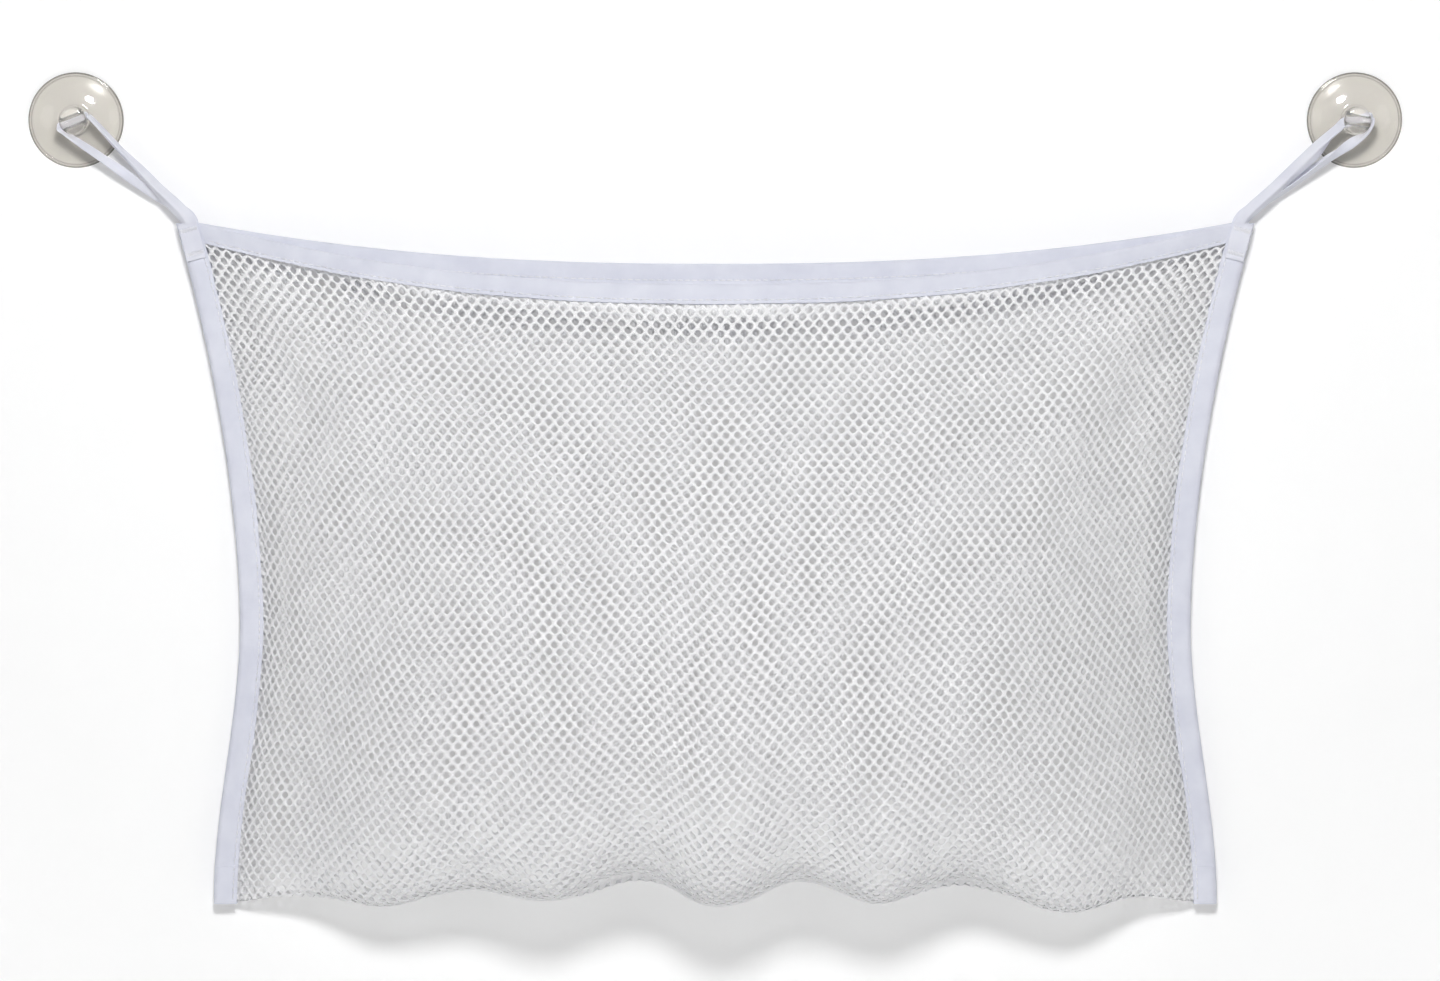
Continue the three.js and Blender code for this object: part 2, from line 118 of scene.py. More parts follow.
# Folds from a top corner: angle and spread in degrees, and height.
CORNER_FOLDS = ((22, 9, 0.0030), (41, 8, -0.0024), (58, 7, 0.0026), (74, 6, -0.0016))
FOLD_START = 0.055
FOLD_REACH = 0.15

# Waves of slack net: height, rates across and up, and share of the panel's phase. The last one swells
# the third.
NET_WAVES = ((0.0021, 47, 9, 1.0), (0.0011, 83, -31, 2.1), (0.0006, 151, 67, 0.7), (1.0, 0, 120, 1.3))
WAVE_DROP = 0.26
DRAPE_START = 0.16

# Net knit: pitch of the holes, the hole's half sizes and how far its corners are drawn out.
HOLE_PITCH = 0.0049
ROW_PITCH = 0.00305
KNOT_HALF_HEIGHT = 0.0007
HOLE_HALF_WIDTH = 0.00160
HOLE_HALF_HEIGHT = 0.00164
HOLE_CURVE = 1.25
CROSSINGS = 6
HOLE_CORNERS = 2 * CROSSINGS
STRAND_ROUND = 0.6
NET_TUCK = 0.006
TUCK_COLUMNS = 10
GRID_COLUMNS = 480
GRID_ROWS = 260
GRID_END = 1.001

# Unevenness of the knit, in holes: two ripples that beat with each other.
OVER_DRIFT = ((0.06, 0.37, 0.8), (1, 0.21, 1.1))
DOWN_DRIFT = ((0.07, 0.29, 0.4), (1, 0.17, 0.3))

# Share of the front net and hem that follows the mouth.
MOUTH_FADE = 0.125
MOUTH_CURVE = 4

# Faces that meet at more than this angle keep a crisp edge.
EDGE_ANGLE = math.radians(38)

# Tapes: stations along them, the groove at their seam, and their uneven loose edge.
STATION_PITCH = 0.0010
TAPE_STEPS = 9
GROOVE_DEPTH = 0.00026
GROOVE_WIDTH = 0.0009
GROOVE_BEAT = 0.3
PILLOW_RISE = 0.00012
SLOT_LEAST = 0.0001
EDGE_WAVE = 0.012
EDGE_WAVE_LENGTH = 0.0083
EDGE_WAVE_CURVE = 4
HEM_TUCK = 0.004
HEM_FINE_STEPS = 1601
NEAR_HEM = 0.05
END_PINCH = 0.0004
END_PINCH_LENGTH = 0.0012
END_FOLD = 0.0165
END_FOLD_STEP = 0.0005
END_FOLD_RISE = 0.0006
END_FOLD_SHARES = np.linspace(-0.5, 1.5, 7)

# Sewing. A stitch is set by shares of its length, its height and its girth, from end to end.
STITCH_SHAPE = (
    (0, -0.7, 0.35), (0.12, 0.25, 0.85), (0.35, 1, 1),
    (0.65, 1, 1), (0.88, 0.25, 0.85), (1, -0.7, 0.35),
)
THREAD_RADIUS = 0.00026
STITCH_PITCH = 0.0030
STITCH_LENGTH = 0.0024
STITCH_SIDES = 6
SEAM_RISE = 0.55 * THREAD_RADIUS
SEAM_ARCH = 0.45 * THREAD_RADIUS
HEM_SEAM_SKIP = 0.002
BINDING_SEAM_SKIP = 0.0015
TACK_ARCH = 0.8 * THREAD_RADIUS
TACK_THREADS = 15
TACK_SLANT = 0.0002
TACK_RIPPLE = (0.00022, 2.3, 0)

# Ribbon loops.
RIBBON_SHEET = 0.00045
DOUBLED = 2.85
CREASE_SHARE = 0.13
RIBBON_RINGS = 280
RIBBON_COLUMNS = 17
RIBBON_CROWDING = 1.5
RIBBON_EDGE_THIN = 0.35
RIBBON_EDGE_CURVE = 8
TAB_DROPS = (TAB_LENGTH, TAB_LENGTH / 2, TACK_INSET / 2)
LOOP_TOP = RIBBON_WIDTH / 5
FRONT_LEG_SHARES = (0.35, 0.7)
REAR_LEG_SHARES = (0.3, 0.65)
LOOP_TURN_SHEETS = 1.5
LOOP_SPLIT_DROP = 0.020
KNOB_BEND_START = -0.003
KNOB_BEND_END = -0.014
LEG_BEND_START = -0.034
LEG_BEND_END = -CORNER_DROP - 0.003

# Cups: the bead round the rim, the steps of their curves and the flare of the cross hole.
BEAD_WIDTH = 0.0014
BEAD_ROUND = 0.0005
BEAD_FOOT = 0.1 * BEAD_ROUND
BEAD_LIP = 1.2 * BEAD_ROUND
HOLLOW_FULLNESS = 0.7
DOME_STEPS = 24
BEAD_STEPS = 8
KNOB_STEPS = 10
CUP_SEGMENTS = 128
HOLE_SIDES = 48
HOLE_OVERSHOOT = 0.001
HOLE_FLARE = 0.0009
HOLE_FLARE_DEPTH = 0.0006

# Finishes: where patches of noise start and end, and the pitch of a band texture of scale 1.
PATCH_ENDS = (0.3, 0.7)
BAND_PITCH = 0.314
WHITE = (1, 1, 1, 1)

# Tint of the clear cup by radius: share of the cup's radius, and the colour there. The dome's tint is the PVC's
# own.
# Painted shade: the dark rings at the knob's wall, the bead's groove and the rim stand in for the dark edges
# that refraction shows. Painted light: the lighter tint inside the knob brightens the view through its hole.
CUP_TINT_PAINTED_SHADE_AND_LIGHT = (
    (0.00, (0.66, 0.65, 0.63)),
    (0.22, (0.66, 0.65, 0.63)),
    (0.275, (0.29, 0.28, 0.265)),
    (0.31, (0.50, 0.488, 0.464)),
    (0.90, (0.51, 0.498, 0.474)),
    (0.925, (0.33, 0.32, 0.305)),
    (0.945, (0.49, 0.48, 0.455)),
    (0.965, (0.43, 0.42, 0.395)),
    (0.982, (0.16, 0.155, 0.145)),
    (1.00, (0.08, 0.077, 0.07)),
)

# Stage, light and camera.
WALL_GAP = 0.0006
WALL_HALF_WIDTH = 5.0
WALL_HEIGHT = 4.5
FLOOR_Z = -0.62
FLOOR_HALF_WIDTH = 9.0
FLOOR_GLOW = 0.30
WORLD_LEVEL = 0.11
LAMP_TARGET = Vector((0, 0, -0.16))
LAMPS = (
    ("key", (0, -1.36, 0.58), 0.30, 15.0),
    ("left_fill", (-1.6, -1.5, 0.1), 1.0, 3.2),
    ("right_fill", (1.6, -1.5, 0.1), 1.0, 2.6),
    ("back_fill", (0, 1.4, 1.5), 1.0, 4.5),
)
IMAGE_WIDTH = 1440
METRES_PER_PIXEL = 0.00042
CAMERA_DISTANCE = 2.2
CAMERA_ELEVATION = math.radians(5.0)
CAMERA_TARGET = Vector((0.002, -0.010, -0.155))
SENSOR_WIDTH = 36.0

# Places that follow from the sizes.
knob_radius = KNOB_DIAMETER / 2
knob_top = CUP_CROWN + KNOB_HEIGHT
hole_height = knob_top - HOLE_COVER - HOLE_DIAMETER / 2
corner_z = -CORNER_DROP
waist_z = -WAIST_DROP
foot_z = -FOOT_DROP
slot_half = NET_THICKNESS / 2 + CLEARANCE
hem_half = slot_half + TAPE_THICKNESS
seam_spread = (NET_THICKNESS + CLEARANCE) / 2
corner_spread = hem_half + CLEARANCE
corner_half = corner_spread + slot_half + TAPE_THICKNESS
seam_y = -(RIBBON_WALL_GAP + RIBBON_THICKNESS + CLEARANCE + corner_half)
net_edge = TAPE_THICKNESS + CLEARANCE

# A panel of the net: the way it lies from the seam, its hem, its end of the section and its slack.
Panel = namedtuple("Panel", "towards sag reach end slack phase")
FRONT = Panel(-1, FRONT_HEM_SAG, MOUTH_REACH, 0.0, 1.0, 0.4)
REAR = Panel(1, REAR_HEM_SAG, 0.0, 1.0, 0.45, 2.6)

# A tape's fold, the ways in and to the front from it, and the run along it.
Line = namedtuple("Line", "fold inward front run")

# Each side's cup is turned by its tilt. Its ribbon is pinched at the corner and folded further up by
# its own angles, and its legs face the room by their own share.
Side = namedtuple("Side", "label sign tilt pinch corner_fold knob_fold leg_face")
SIDES = (
    Side("left", -1, math.radians(22), 1.0, 2.0, 2.6, 0.4),
    Side("right", 1, math.radians(12), 1.2, 1.6, 1.5, 1.6),
)


# Small sums

def smooth(value):
    t = np.clip(value, 0, 1)
    return t * t * (3 - 2 * t)


def lerp(a, b, t):
    return a + (b - a) * t


def unit(vectors):
    return vectors / np.linalg.norm(vectors, axis=-1, keepdims=True)


def ripple(shape, place):
    size, rate, phase = shape
    return size * np.sin(rate * place + phase)


def signed_power(value, power):
    return np.sign(value) * np.abs(value) ** power


def columns(*parts):
    return np.stack(parts, axis=-1)


def hermite(start, stop, leave, arrive, part):
    """Cubic curve from start to stop, with its speeds at both."""
    cubic = 2 * start - 2 * stop + leave + arrive
    square = 3 * stop - 3 * start - 2 * leave - arrive
    return cubic * part ** 3 + square * part ** 2 + leave * part + start


def step_at(place, count):
    """Number of the step between points at a place, and the part of it passed."""
    first = np.clip(np.floor(place).astype(int), 0, count - 2)
    return first, place - first


def run_along(points):
    """Length up to every point of one or more lines (first axis)."""
    steps = np.linalg.norm(np.diff(points, axis=0), axis=-1)
    return np.concatenate([np.zeros_like(steps[:1]), np.cumsum(steps, axis=0)])


def places_at(wanted, run, points):
    """Points at the wanted lengths along a line."""
    return columns(*(np.interp(wanted, run, column) for column in points.T))


def full_turn(sides):
    return np.linspace(0, 2 * math.pi, sides, endpoint=False)


def circle(over, out, sides):
    """Circle of radius 1 in the plane of two directions."""
    turn = full_turn(sides)
    return np.outer(np.cos(turn), over) + np.outer(np.sin(turn), out)


# Shape of the bag

def side_half_width(z):
    """Half width over the side bindings: a flare above the waist, a soft spread below."""
    waist = WAIST_WIDTH / 2
    rise = np.clip((z - waist_z) / (corner_z - waist_z), 0, None)
    flare = (TOP_WIDTH / 2 - waist) * rise ** SIDE_FLARE
    spread = (FOOT_WIDTH / 2 - waist) * smooth((waist_z - z) / (waist_z - foot_z))
    return waist + np.where(z >= waist_z, flare, spread)


def inner_half_width(z):
    return side_half_width(z) - BINDING_WIDTH - NET_MARGIN


def layer_spread(z):
    """Half the distance between the net layers, more where the hems lie between them."""
    below = (corner_z - HEM_WIDTH - z) / CORNER_TAPER
    return lerp(seam_spread, corner_spread, smooth(1 - below))


def binding_half(z):
    return layer_spread(z) + slot_half + TAPE_THICKNESS


def section_shares(t):
    """Shares of the belly's depth and the drop, from the front hem (0) to the rear (1)."""
    count = len(SECTION_POINTS)
    first, part = step_at(np.asarray(t, float) * (count - 1), count)
    padded = np.pad(SECTION_POINTS, ((1, 1), (0, 0)), "edge")
    before, start, stop, after = (padded[first + k] for k in range(4))
    return hermite(start, stop, (stop - before) / 2, (after - start) / 2, part[..., None])


def fold_z(across):
    """Bottom of the net: arched between the side seams, with soft lobes."""
    x = across * inner_half_width(foot_z)
    turn = 2 * math.pi * x / FLOOR_LOBE_PITCH + ripple(LOBE_DRIFT, x)
    lobe = FLOOR_LOBE_RISE * (1 + ripple(LOBE_SWING, x)) * np.cos(turn)
    arch = FLOOR_ARCH * (1 - across ** 2)
    return foot_z + FLOOR_INSET + arch - lobe * (1 - across ** FLOOR_LOBE_FADE)


def panel_point(panel, across, along):
    """Middle of the net at a place across (-1 to 1) and along (0 at the hem, 1 at the fold)."""
    across, along = np.broadcast_arrays(np.asarray(across, float), np.asarray(along, float))
    fold_share = FOLD_POINT / (len(SECTION_POINTS) - 1)
    shares = section_shares(lerp(panel.end, fold_share, along))
    depth, drop = shares[..., 0], shares[..., 1]
    edge = np.abs(across)
    top_z = corner_z - net_edge - panel.sag * (1 - edge ** HEM_CURVE)
    z = lerp(top_z, fold_z(across), drop)
    belly = BELLY_DEPTH * depth * (1 - edge ** BELLY_CURVE) ** BELLY_FULLNESS
    mouth = panel.reach * (1 - across ** 2) * (1 - drop) ** 2
    y = seam_y + panel.towards * layer_spread(z) - belly - mouth
    return columns(across * inner_half_width(z), y, z)


# Soft folds of the net

def corner_folds(points, sign):
    """Folds that fan out from a top corner, where the loop pulls."""
    inward = sign * (sign * TOP_WIDTH / 2 - points[..., 0])
    down = corner_z - points[..., 2]
    reach = np.hypot(inward, down)
    angle = np.degrees(np.arctan2(down, inward))
    fade = smooth(reach / FOLD_START) * np.exp(-(reach / FOLD_REACH) ** 2)
    folds = (height * np.exp(-((angle - at) / spread) ** 2) for at, spread, height in CORNER_FOLDS)
    return sum(folds) * fade


def soft_waves(points, phase):
    """Uneven waves of slack net, the widest ones deeper further down."""
    x, z = points[..., 0], points[..., 2]
    wide, slant, small, beat = (
        height * np.sin(across * x + up * z + share * phase) for height, across, up, share in NET_WAVES)
    return wide * smooth((corner_z - z) / WAVE_DROP) + slant + small * beat


def drape(panel, points, across, along):
    """How far the slack net stands out, nothing at its sewn edges."""
    edge = smooth((1 - np.abs(across)) / DRAPE_START) * smooth(along / DRAPE_START)
    height = soft_waves(points, panel.phase)
    if panel is FRONT:
        height = corner_folds(points, -1) + corner_folds(points, 1) + height
    return panel.slack * edge * height


def grid_normals(grid):
    down, over = np.gradient(grid, axis=(0, 1))
    return unit(np.cross(over, down))


def even_spaced(lines):
    """Moves the points of each line (first axis) to even steps."""
    run = run_along(lines)
    moved = np.empty_like(lines)
    for c in range(lines.shape[1]):
        wanted = np.linspace(0, run[-1, c], lines.shape[0])
        moved[:, c] = places_at(wanted, run[:, c], lines[:, c])
    return moved


def panel_grid(panel):
    """Dense grid of the draped panel from hem to fold, with margins inside the bindings."""
    across = np.linspace(-1, 1, GRID_COLUMNS + 1)[None, :]
    along = np.linspace(0, 1, GRID_ROWS + 1)[:, None]
    points = panel_point(panel, across, along)
    outward = grid_normals(points) * -panel.towards
    spread = np.broadcast_arrays(across, along)
    points = points + outward * drape(panel, points, *spread)[..., None]
    tuck = np.array([NET_TUCK, 0, 0])
    shares = np.linspace(1, 1 / TUCK_COLUMNS, TUCK_COLUMNS)[:, None]
    left = points[:, :1] - shares[None] * tuck
    right = points[:, -1:] + shares[None, ::-1] * tuck
    points = even_spaced(np.concatenate([left, points, right], axis=1))
    return even_spaced(points.transpose(1, 0, 2)).transpose(1, 0, 2)


def bag_grid():
    """The whole net from the front hem, round the bottom, up to the rear hem."""
    front = panel_grid(FRONT)
    rear = panel_grid(REAR)[::-1]
    rear[0] = front[-1]
    points = np.concatenate([front, rear[1:]])
    return points, grid_normals(points)


def sample(grid, row, column):
    """Values of a grid between its points, just short of its last line."""
    height, width = grid.shape[:2]
    r, down = step_at(np.clip(row, 0, height - GRID_END), height)
    c, over = step_at(np.clip(column, 0, width - GRID_END), width)
    upper = lerp(grid[r, c], grid[r, c + 1], over[..., None])
    lower = lerp(grid[r + 1, c], grid[r + 1, c + 1], over[..., None])
    return lerp(upper, lower, down[..., None])


# Meshes

def mesh_object(name, points, faces, material):
    mesh = bpy.data.meshes.new(name)
    mesh.from_pydata(np.asarray(points, float).tolist(), [], [list(map(int, f)) for f in faces])
    mesh.validate()
    mesh.shade_smooth()
    mesh.materials.append(material)
    piece = bpy.data.objects.new(name, mesh)
    bpy.context.scene.collection.objects.link(piece)
    return piece


def closed_object(name, points, faces, slot):
    """A closed mesh whose faces all point out."""
    piece = mesh_object(name, points, faces, MATERIALS[slot])
    mesh = piece.data
    mesh.calc_loop_triangles()
    index = np.zeros(len(mesh.loop_triangles) * 3, np.int32)
    mesh.loop_triangles.foreach_get("vertices", index)
    a, b, c = np.asarray(points, float)[index.reshape(-1, 3)].transpose(1, 0, 2)
    if np.einsum("ij,ij->", a, np.cross(b, c)) < 0:
        mesh.flip_normals()
    return piece


def joined(blocks):
    """Several blocks of points and faces as one."""
    points, faces, shift = [], [], 0
    for more, block in blocks:
        points.append(more)
        faces += [tuple(shift + i for i in face) for face in block]
        shift += len(more)
    return np.concatenate(points), faces


def add_uv(piece, name, coordinates):
    """Writes one UV for each face corner."""
    layer = piece.data.uv_layers.new(name=name)
    layer.uv.foreach_set("vector", np.asarray(coordinates, np.float32).ravel())


def corner_vertices(piece):
    index = np.zeros(len(piece.data.loops), np.int32)
    piece.data.loops.foreach_get("vertex_index", index)
    return index


def ring_faces(rings, sides):
    """Quads between closed rings of points, ring after ring."""
    faces = []
    for r in range(rings - 1):
        for c in range(sides):
            d = (c + 1) % sides
            faces.append((r * sides + c, r * sides + d, (r + 1) * sides + d, (r + 1) * sides + c))
    return faces


def rod_faces(rings, sides):
    """Faces of a rod of rings with one flat face on each end."""
    faces = ring_faces(rings, sides)
    faces.append(tuple(range(sides))[::-1])
    faces.append(tuple(range((rings - 1) * sides, rings * sides)))
    return faces


def sleeve_faces(rings, sides):
    """Faces of a flat sleeve of rings, closed by quads at both ends."""
    faces = ring_faces(rings, sides)
    last = (rings - 1) * sides
    for i in range(sides // 2 - 1):
        j = sides - 1 - i
        faces.append((i + 1, i, j, j - 1))
        faces.append((last + i, last + i + 1, last + j - 1, last + j))
    return faces


def sleeve_piece(name, stretches, slot):
    """One mesh of woven sleeves, given by their rings. The runs along and round them are its UV."""
    blocks, coordinates = [], []
    for rings, run, around in stretches:
        stations, count, _ = rings.shape
        blocks.append((rings.reshape(-1, 3), sleeve_faces(stations, count)))
        coordinates.append(columns(np.repeat(run, count), np.tile(around, stations)))
    piece = closed_object(name, *joined(blocks), slot)
    piece.data.set_sharp_from_angle(angle=EDGE_ANGLE)
    add_uv(piece, "Weave", np.concatenate(coordinates)[corner_vertices(piece)])
    return piece


# Net

def hole_outline():
    """Corners of one hole about its middle, drawn out at top and sides."""
    turn = full_turn(HOLE_CORNERS) + math.pi / 2
    x, y = signed_power(np.cos(turn), HOLE_CURVE), signed_power(np.sin(turn), HOLE_CURVE)
    return columns(x * HOLE_HALF_WIDTH, -y * HOLE_HALF_HEIGHT)


class Knit:
    """Lattice of holes over the net. Places are counted in holes across and rows down."""

    def __init__(self):
        self.points, self.normals = bag_grid()
        width = run_along(self.points[0])[-1]
        down = run_along(self.points[:, self.points.shape[1] // 2])
        self.columns = round(width / HOLE_PITCH)
        self.front_rows = round(down[GRID_ROWS] / ROW_PITCH)
        self.rear_rows = round((down[-1] - down[GRID_ROWS]) / ROW_PITCH)

    def grid_place(self, over, down):
        """Grid row and column of a place, made slightly uneven."""
        over = over + ripple(OVER_DRIFT[0], down) * ripple(OVER_DRIFT[1], over)
        down = down + ripple(DOWN_DRIFT[0], over) * ripple(DOWN_DRIFT[1], down)
        column = over / self.columns * (self.points.shape[1] - 1)
        in_front = down / self.front_rows * GRID_ROWS
        behind = GRID_ROWS + (down - self.front_rows) / self.rear_rows * GRID_ROWS
        return np.where(down <= self.front_rows, in_front, behind), column

    def surface(self, over, down):
        place = self.grid_place(over, down)
        return sample(self.points, *place), unit(sample(self.normals, *place))

    def cells(self, first, last):
        """Places (half holes across, row) of the holes of a run of rows."""
        places = []
        for row in range(first, last):
            halves = np.arange(row % 2, 2 * self.columns, 2)
            places.append(columns(halves, np.full_like(halves, row)))
        return np.concatenate(places)


def knit_corners(cells):
    """The six crossings round each hole, as (half holes across, row, upper or lower)."""
    half, row = cells[:, 0], cells[:, 1]
    upper, lower = np.zeros_like(half), np.ones_like(half)
    ring = [
        (half, row - 1, lower), (half - 1, row, upper), (half - 1, row, lower),
        (half, row + 1, upper), (half + 1, row, lower), (half + 1, row, upper),
    ]
    return np.stack([columns(*corner) for corner in ring], axis=1)


def crossing_places(cells):
    """Places of the strand crossings, and the six that lie round each hole."""
    keys, crest = np.unique(knit_corners(cells).reshape(-1, 3), axis=0, return_inverse=True)
    side = np.where(keys[:, 2] == 0, -1, 1)
    over = keys[:, 0] / 2 + 0.5
    down = keys[:, 1] + 0.5 + side * KNOT_HALF_HEIGHT / ROW_PITCH
    return over, down, crest.reshape(-1, CROSSINGS)


def hole_places(cells):
    """Places of the corners of all holes."""
    outline = hole_outline()
    over = (cells[:, 0] / 2 + 0.5)[:, None] + outline[None, :, 0] / HOLE_PITCH
    down = (cells[:, 1] + 0.5)[:, None] + outline[None, :, 1] / ROW_PITCH
    return over.ravel(), down.ravel()


def net_triangles(crest, holes):
    """Triangles between each hole's outline and the six crossings round it."""
    triangles = []
    for i in range(CROSSINGS):
        a, b = crest[:, i], crest[:, (i + 1) % CROSSINGS]
        first, middle, last = (holes[:, (2 * i + k) % HOLE_CORNERS] for k in range(3))
        triangles += [columns(a, first, middle), columns(a, middle, b), columns(b, middle, last)]
    return np.concatenate(triangles)


def rim_triangles(crest, back_shift):
    """Closes the outer edge of a net piece between its front and rear strands."""
    edges = np.concatenate([crest[:, [i, (i + 1) % CROSSINGS]] for i in range(CROSSINGS)])
    _, place, count = np.unique(np.sort(edges, axis=1), axis=0, return_index=True, return_counts=True)
    a, b = edges[place[count == 1]].T
    behind_a, behind_b = a + back_shift, b + back_shift
    return np.concatenate([columns(a, b, behind_b), columns(a, behind_b, behind_a)])


def net_faces(crest, count):
    """Triangles of a net piece's front, back and rim, and 1 for each corner at the back."""
    holes = 2 * count + np.arange(len(crest) * HOLE_CORNERS).reshape(-1, HOLE_CORNERS)
    front = net_triangles(crest, holes)
    back = net_triangles(crest + count, holes)[:, ::-1]
    rim = rim_triangles(crest, count)
    is_back = np.repeat([0, 1, 0], [front.size, back.size, rim.size])
    return np.concatenate([front, back, rim]), is_back


def round_strands(piece, is_back, normal, edge, edge_normal):
    """Shades flat strands as round: at a hole's edge their normals lean into it."""
    index = corner_vertices(piece)
    count = len(normal)
    ring = edge.reshape(-1, HOLE_CORNERS, 3)
    leaning = np.zeros((2 * count + len(edge), 3))
    leaning[2 * count:] = unit(ring.mean(axis=1, keepdims=True) - ring).reshape(-1, 3)
    facing = np.concatenate([normal, normal, edge_normal])[index] * np.where(is_back, -1, 1)[:, None]
    at_front = index < count
    facing[at_front] = normal[index[at_front]]
    piece.data.normals_split_custom_set(unit(facing + STRAND_ROUND * leaning[index]).tolist())


def net_piece(name, knit, first, last):
    """A run of rows of the net as one mesh, with the place of each vertex in the knit."""
    cells = knit.cells(first, last)
    crest_over, crest_down, crest = crossing_places(cells)
    hole_over, hole_down = hole_places(cells)
    middle, normal = knit.surface(crest_over, crest_down)
    edge, edge_normal = knit.surface(hole_over, hole_down)
    rise = normal * NET_THICKNESS / 2
    points = np.concatenate([middle + rise, middle - rise, edge])
    faces, is_back = net_faces(crest, len(middle))
    piece = closed_object(name, points, faces, "net")
    round_strands(piece, is_back, normal, edge, edge_normal)
    over = np.concatenate([crest_over, crest_over, hole_over])
    down = np.concatenate([crest_down, crest_down, hole_down])
    index = corner_vertices(piece)
    u = over[index] / (knit.columns + 1)
    v = (down[index] - first + 1) / (last - first + 2)
    add_uv(piece, "OFBake", columns(u, (v + is_back) / 2))
    return piece, over, down


def mouth_share(across, below):
    """1 at the middle of the front hem, 0 at the corners and further down."""
    return (1 - np.clip(np.abs(across), 0, 1) ** MOUTH_CURVE) * (1 - smooth(below / MOUTH_FADE))


def follow_mouth(piece, shares):
    """Blends a piece from the bag to the front hem by each vertex's share."""
    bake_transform(piece, "bag", "mouth_hem", start=(0, 0, -MOUTH_FADE), end=(0, 0, corner_z))
    attribute = piece.data.attributes["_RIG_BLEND"]
    attribute.data.foreach_set("value", np.asarray(shares, np.float32))


# Tapes

def tape_profile(width, half):
    """Distance from the fold and share of the half thickness, along a folded tape."""
    reach = np.linspace(width, half, TAPE_STEPS)
    turn = np.linspace(-math.pi / 2, math.pi / 2, TAPE_STEPS)[1:-1]
    distance = np.concatenate([reach, half - half * np.cos(turn), reach[::-1]])
    offset = np.concatenate([np.full(TAPE_STEPS, -1.0), np.sin(turn), np.full(TAPE_STEPS, 1.0)])
    return distance, offset


def tape_piece(name, line, half, width):
    """A folded tape, drawn in at its seam, with a slightly uneven loose edge."""
    rings = []
    for fold, inward, front, run, thick in zip(*line, half):
        distance, offset = tape_profile(width, thick)
        beat = 1 - GROOVE_BEAT + GROOVE_BEAT * math.cos(2 * math.pi * run / STITCH_PITCH)
        seam = np.exp(-((distance - width + SEAM_INSET) / GROOVE_WIDTH) ** 2)
        pillow = PILLOW_RISE * np.sin(math.pi * np.clip(distance / (width - SEAM_INSET), 0, 1))
        rise = thick + pillow - GROOVE_DEPTH * beat * seam
        wave = EDGE_WAVE * math.sin(run / EDGE_WAVE_LENGTH)
        stretch = 1 + wave * (distance / width) ** EDGE_WAVE_CURVE
        outer = fold + np.outer(distance * stretch, inward) - np.outer(offset * rise, front)
        thin = np.clip(rise - TAPE_THICKNESS, SLOT_LEAST, None)
        sunk = np.maximum(distance, TAPE_THICKNESS) * stretch
        inner = fold + np.outer(sunk, inward) - np.outer(offset * thin, front)
        rings.append(np.concatenate([outer, inner[::-1]]))
    return sleeve_piece(name, [(np.array(rings), line.run, run_along(rings[0]))], "tape")


def hem_line(panel, tuck):
    """Places across along a hem, and the line of its fold."""
    fine = np.linspace(-1, 1, HEM_FINE_STEPS)
    length = run_along(panel_point(panel, fine, 0.0))
    stations = int(length[-1] / STATION_PITCH)
    across = np.interp(np.linspace(0, length[-1], stations), length, fine)
    edge = panel_point(panel, across, 0.0)
    down = unit(panel_point(panel, across, NEAR_HEM) - edge)
    along = unit(np.gradient(edge, axis=0))
    front = unit(np.cross(down, along))
    extra = int(tuck / STATION_PITCH)
    reach = np.arange(1, extra + 1)[:, None] * STATION_PITCH
    edge = np.concatenate([edge[:1] - reach[::-1] * along[0], edge, edge[-1:] + reach * along[-1]])
    pad = ((extra, extra), (0, 0))
    down, front = np.pad(down, pad, "edge"), np.pad(front, pad, "edge")
    across = np.pad(across, extra, "edge")
    return across, Line(edge - net_edge * down, down, front, run_along(edge))


def hem_pieces(label, panel):
    """A hem's tape and stitches, each with the place across of every vertex."""
    across, line = hem_line(panel, HEM_TUCK)
    from_end = np.minimum(line.run, line.run[-1] - line.run)
    half = lerp(hem_half - END_PINCH, hem_half, smooth(from_end / (2 * HEM_TUCK)))
    tape = tape_piece(f"{label}_hem_tape", line, half, HEM_WIDTH)
    tape_across = np.repeat(across, len(tape.data.vertices) // len(across))
    across, line = hem_line(panel, 0)
    seam, run = seam_piece(f"{label}_hem_stitches", line, hem_half, HEM_WIDTH, HEM_SEAM_SKIP)
    return (tape, tape_across), (seam, np.interp(run, line.run, across))


def binding_pieces(side):
    """A side binding's tape, thicker where its lower end is folded in, and its stitches."""
    even = np.linspace(corner_z, foot_z, int((FOOT_DROP - CORNER_DROP) / STATION_PITCH))
    step = foot_z + END_FOLD - END_FOLD_RISE * END_FOLD_SHARES
    z = np.sort(np.concatenate([even, step]))[::-1]
    fold = columns(side.sign * side_half_width(z), np.full_like(z, seam_y), z)
    inward = np.tile([-side.sign, 0.0, 0.0], (len(z), 1))
    front = np.tile([0.0, -1.0, 0.0], (len(z), 1))
    line = Line(fold, inward, front, run_along(fold))
    half = binding_half(z) + END_FOLD_STEP * smooth((foot_z + END_FOLD - z) / END_FOLD_RISE)
    from_end = np.minimum(z - foot_z, corner_z - z)
    pinch = END_PINCH * (1 - smooth(from_end / END_PINCH_LENGTH))
    tape = tape_piece(f"{side.label}_side_binding_tape", line, half - pinch, BINDING_WIDTH)
    seam, _ = seam_piece(f"{side.label}_side_stitches", line, half, BINDING_WIDTH, BINDING_SEAM_SKIP)
    return tape, seam


# Stitches

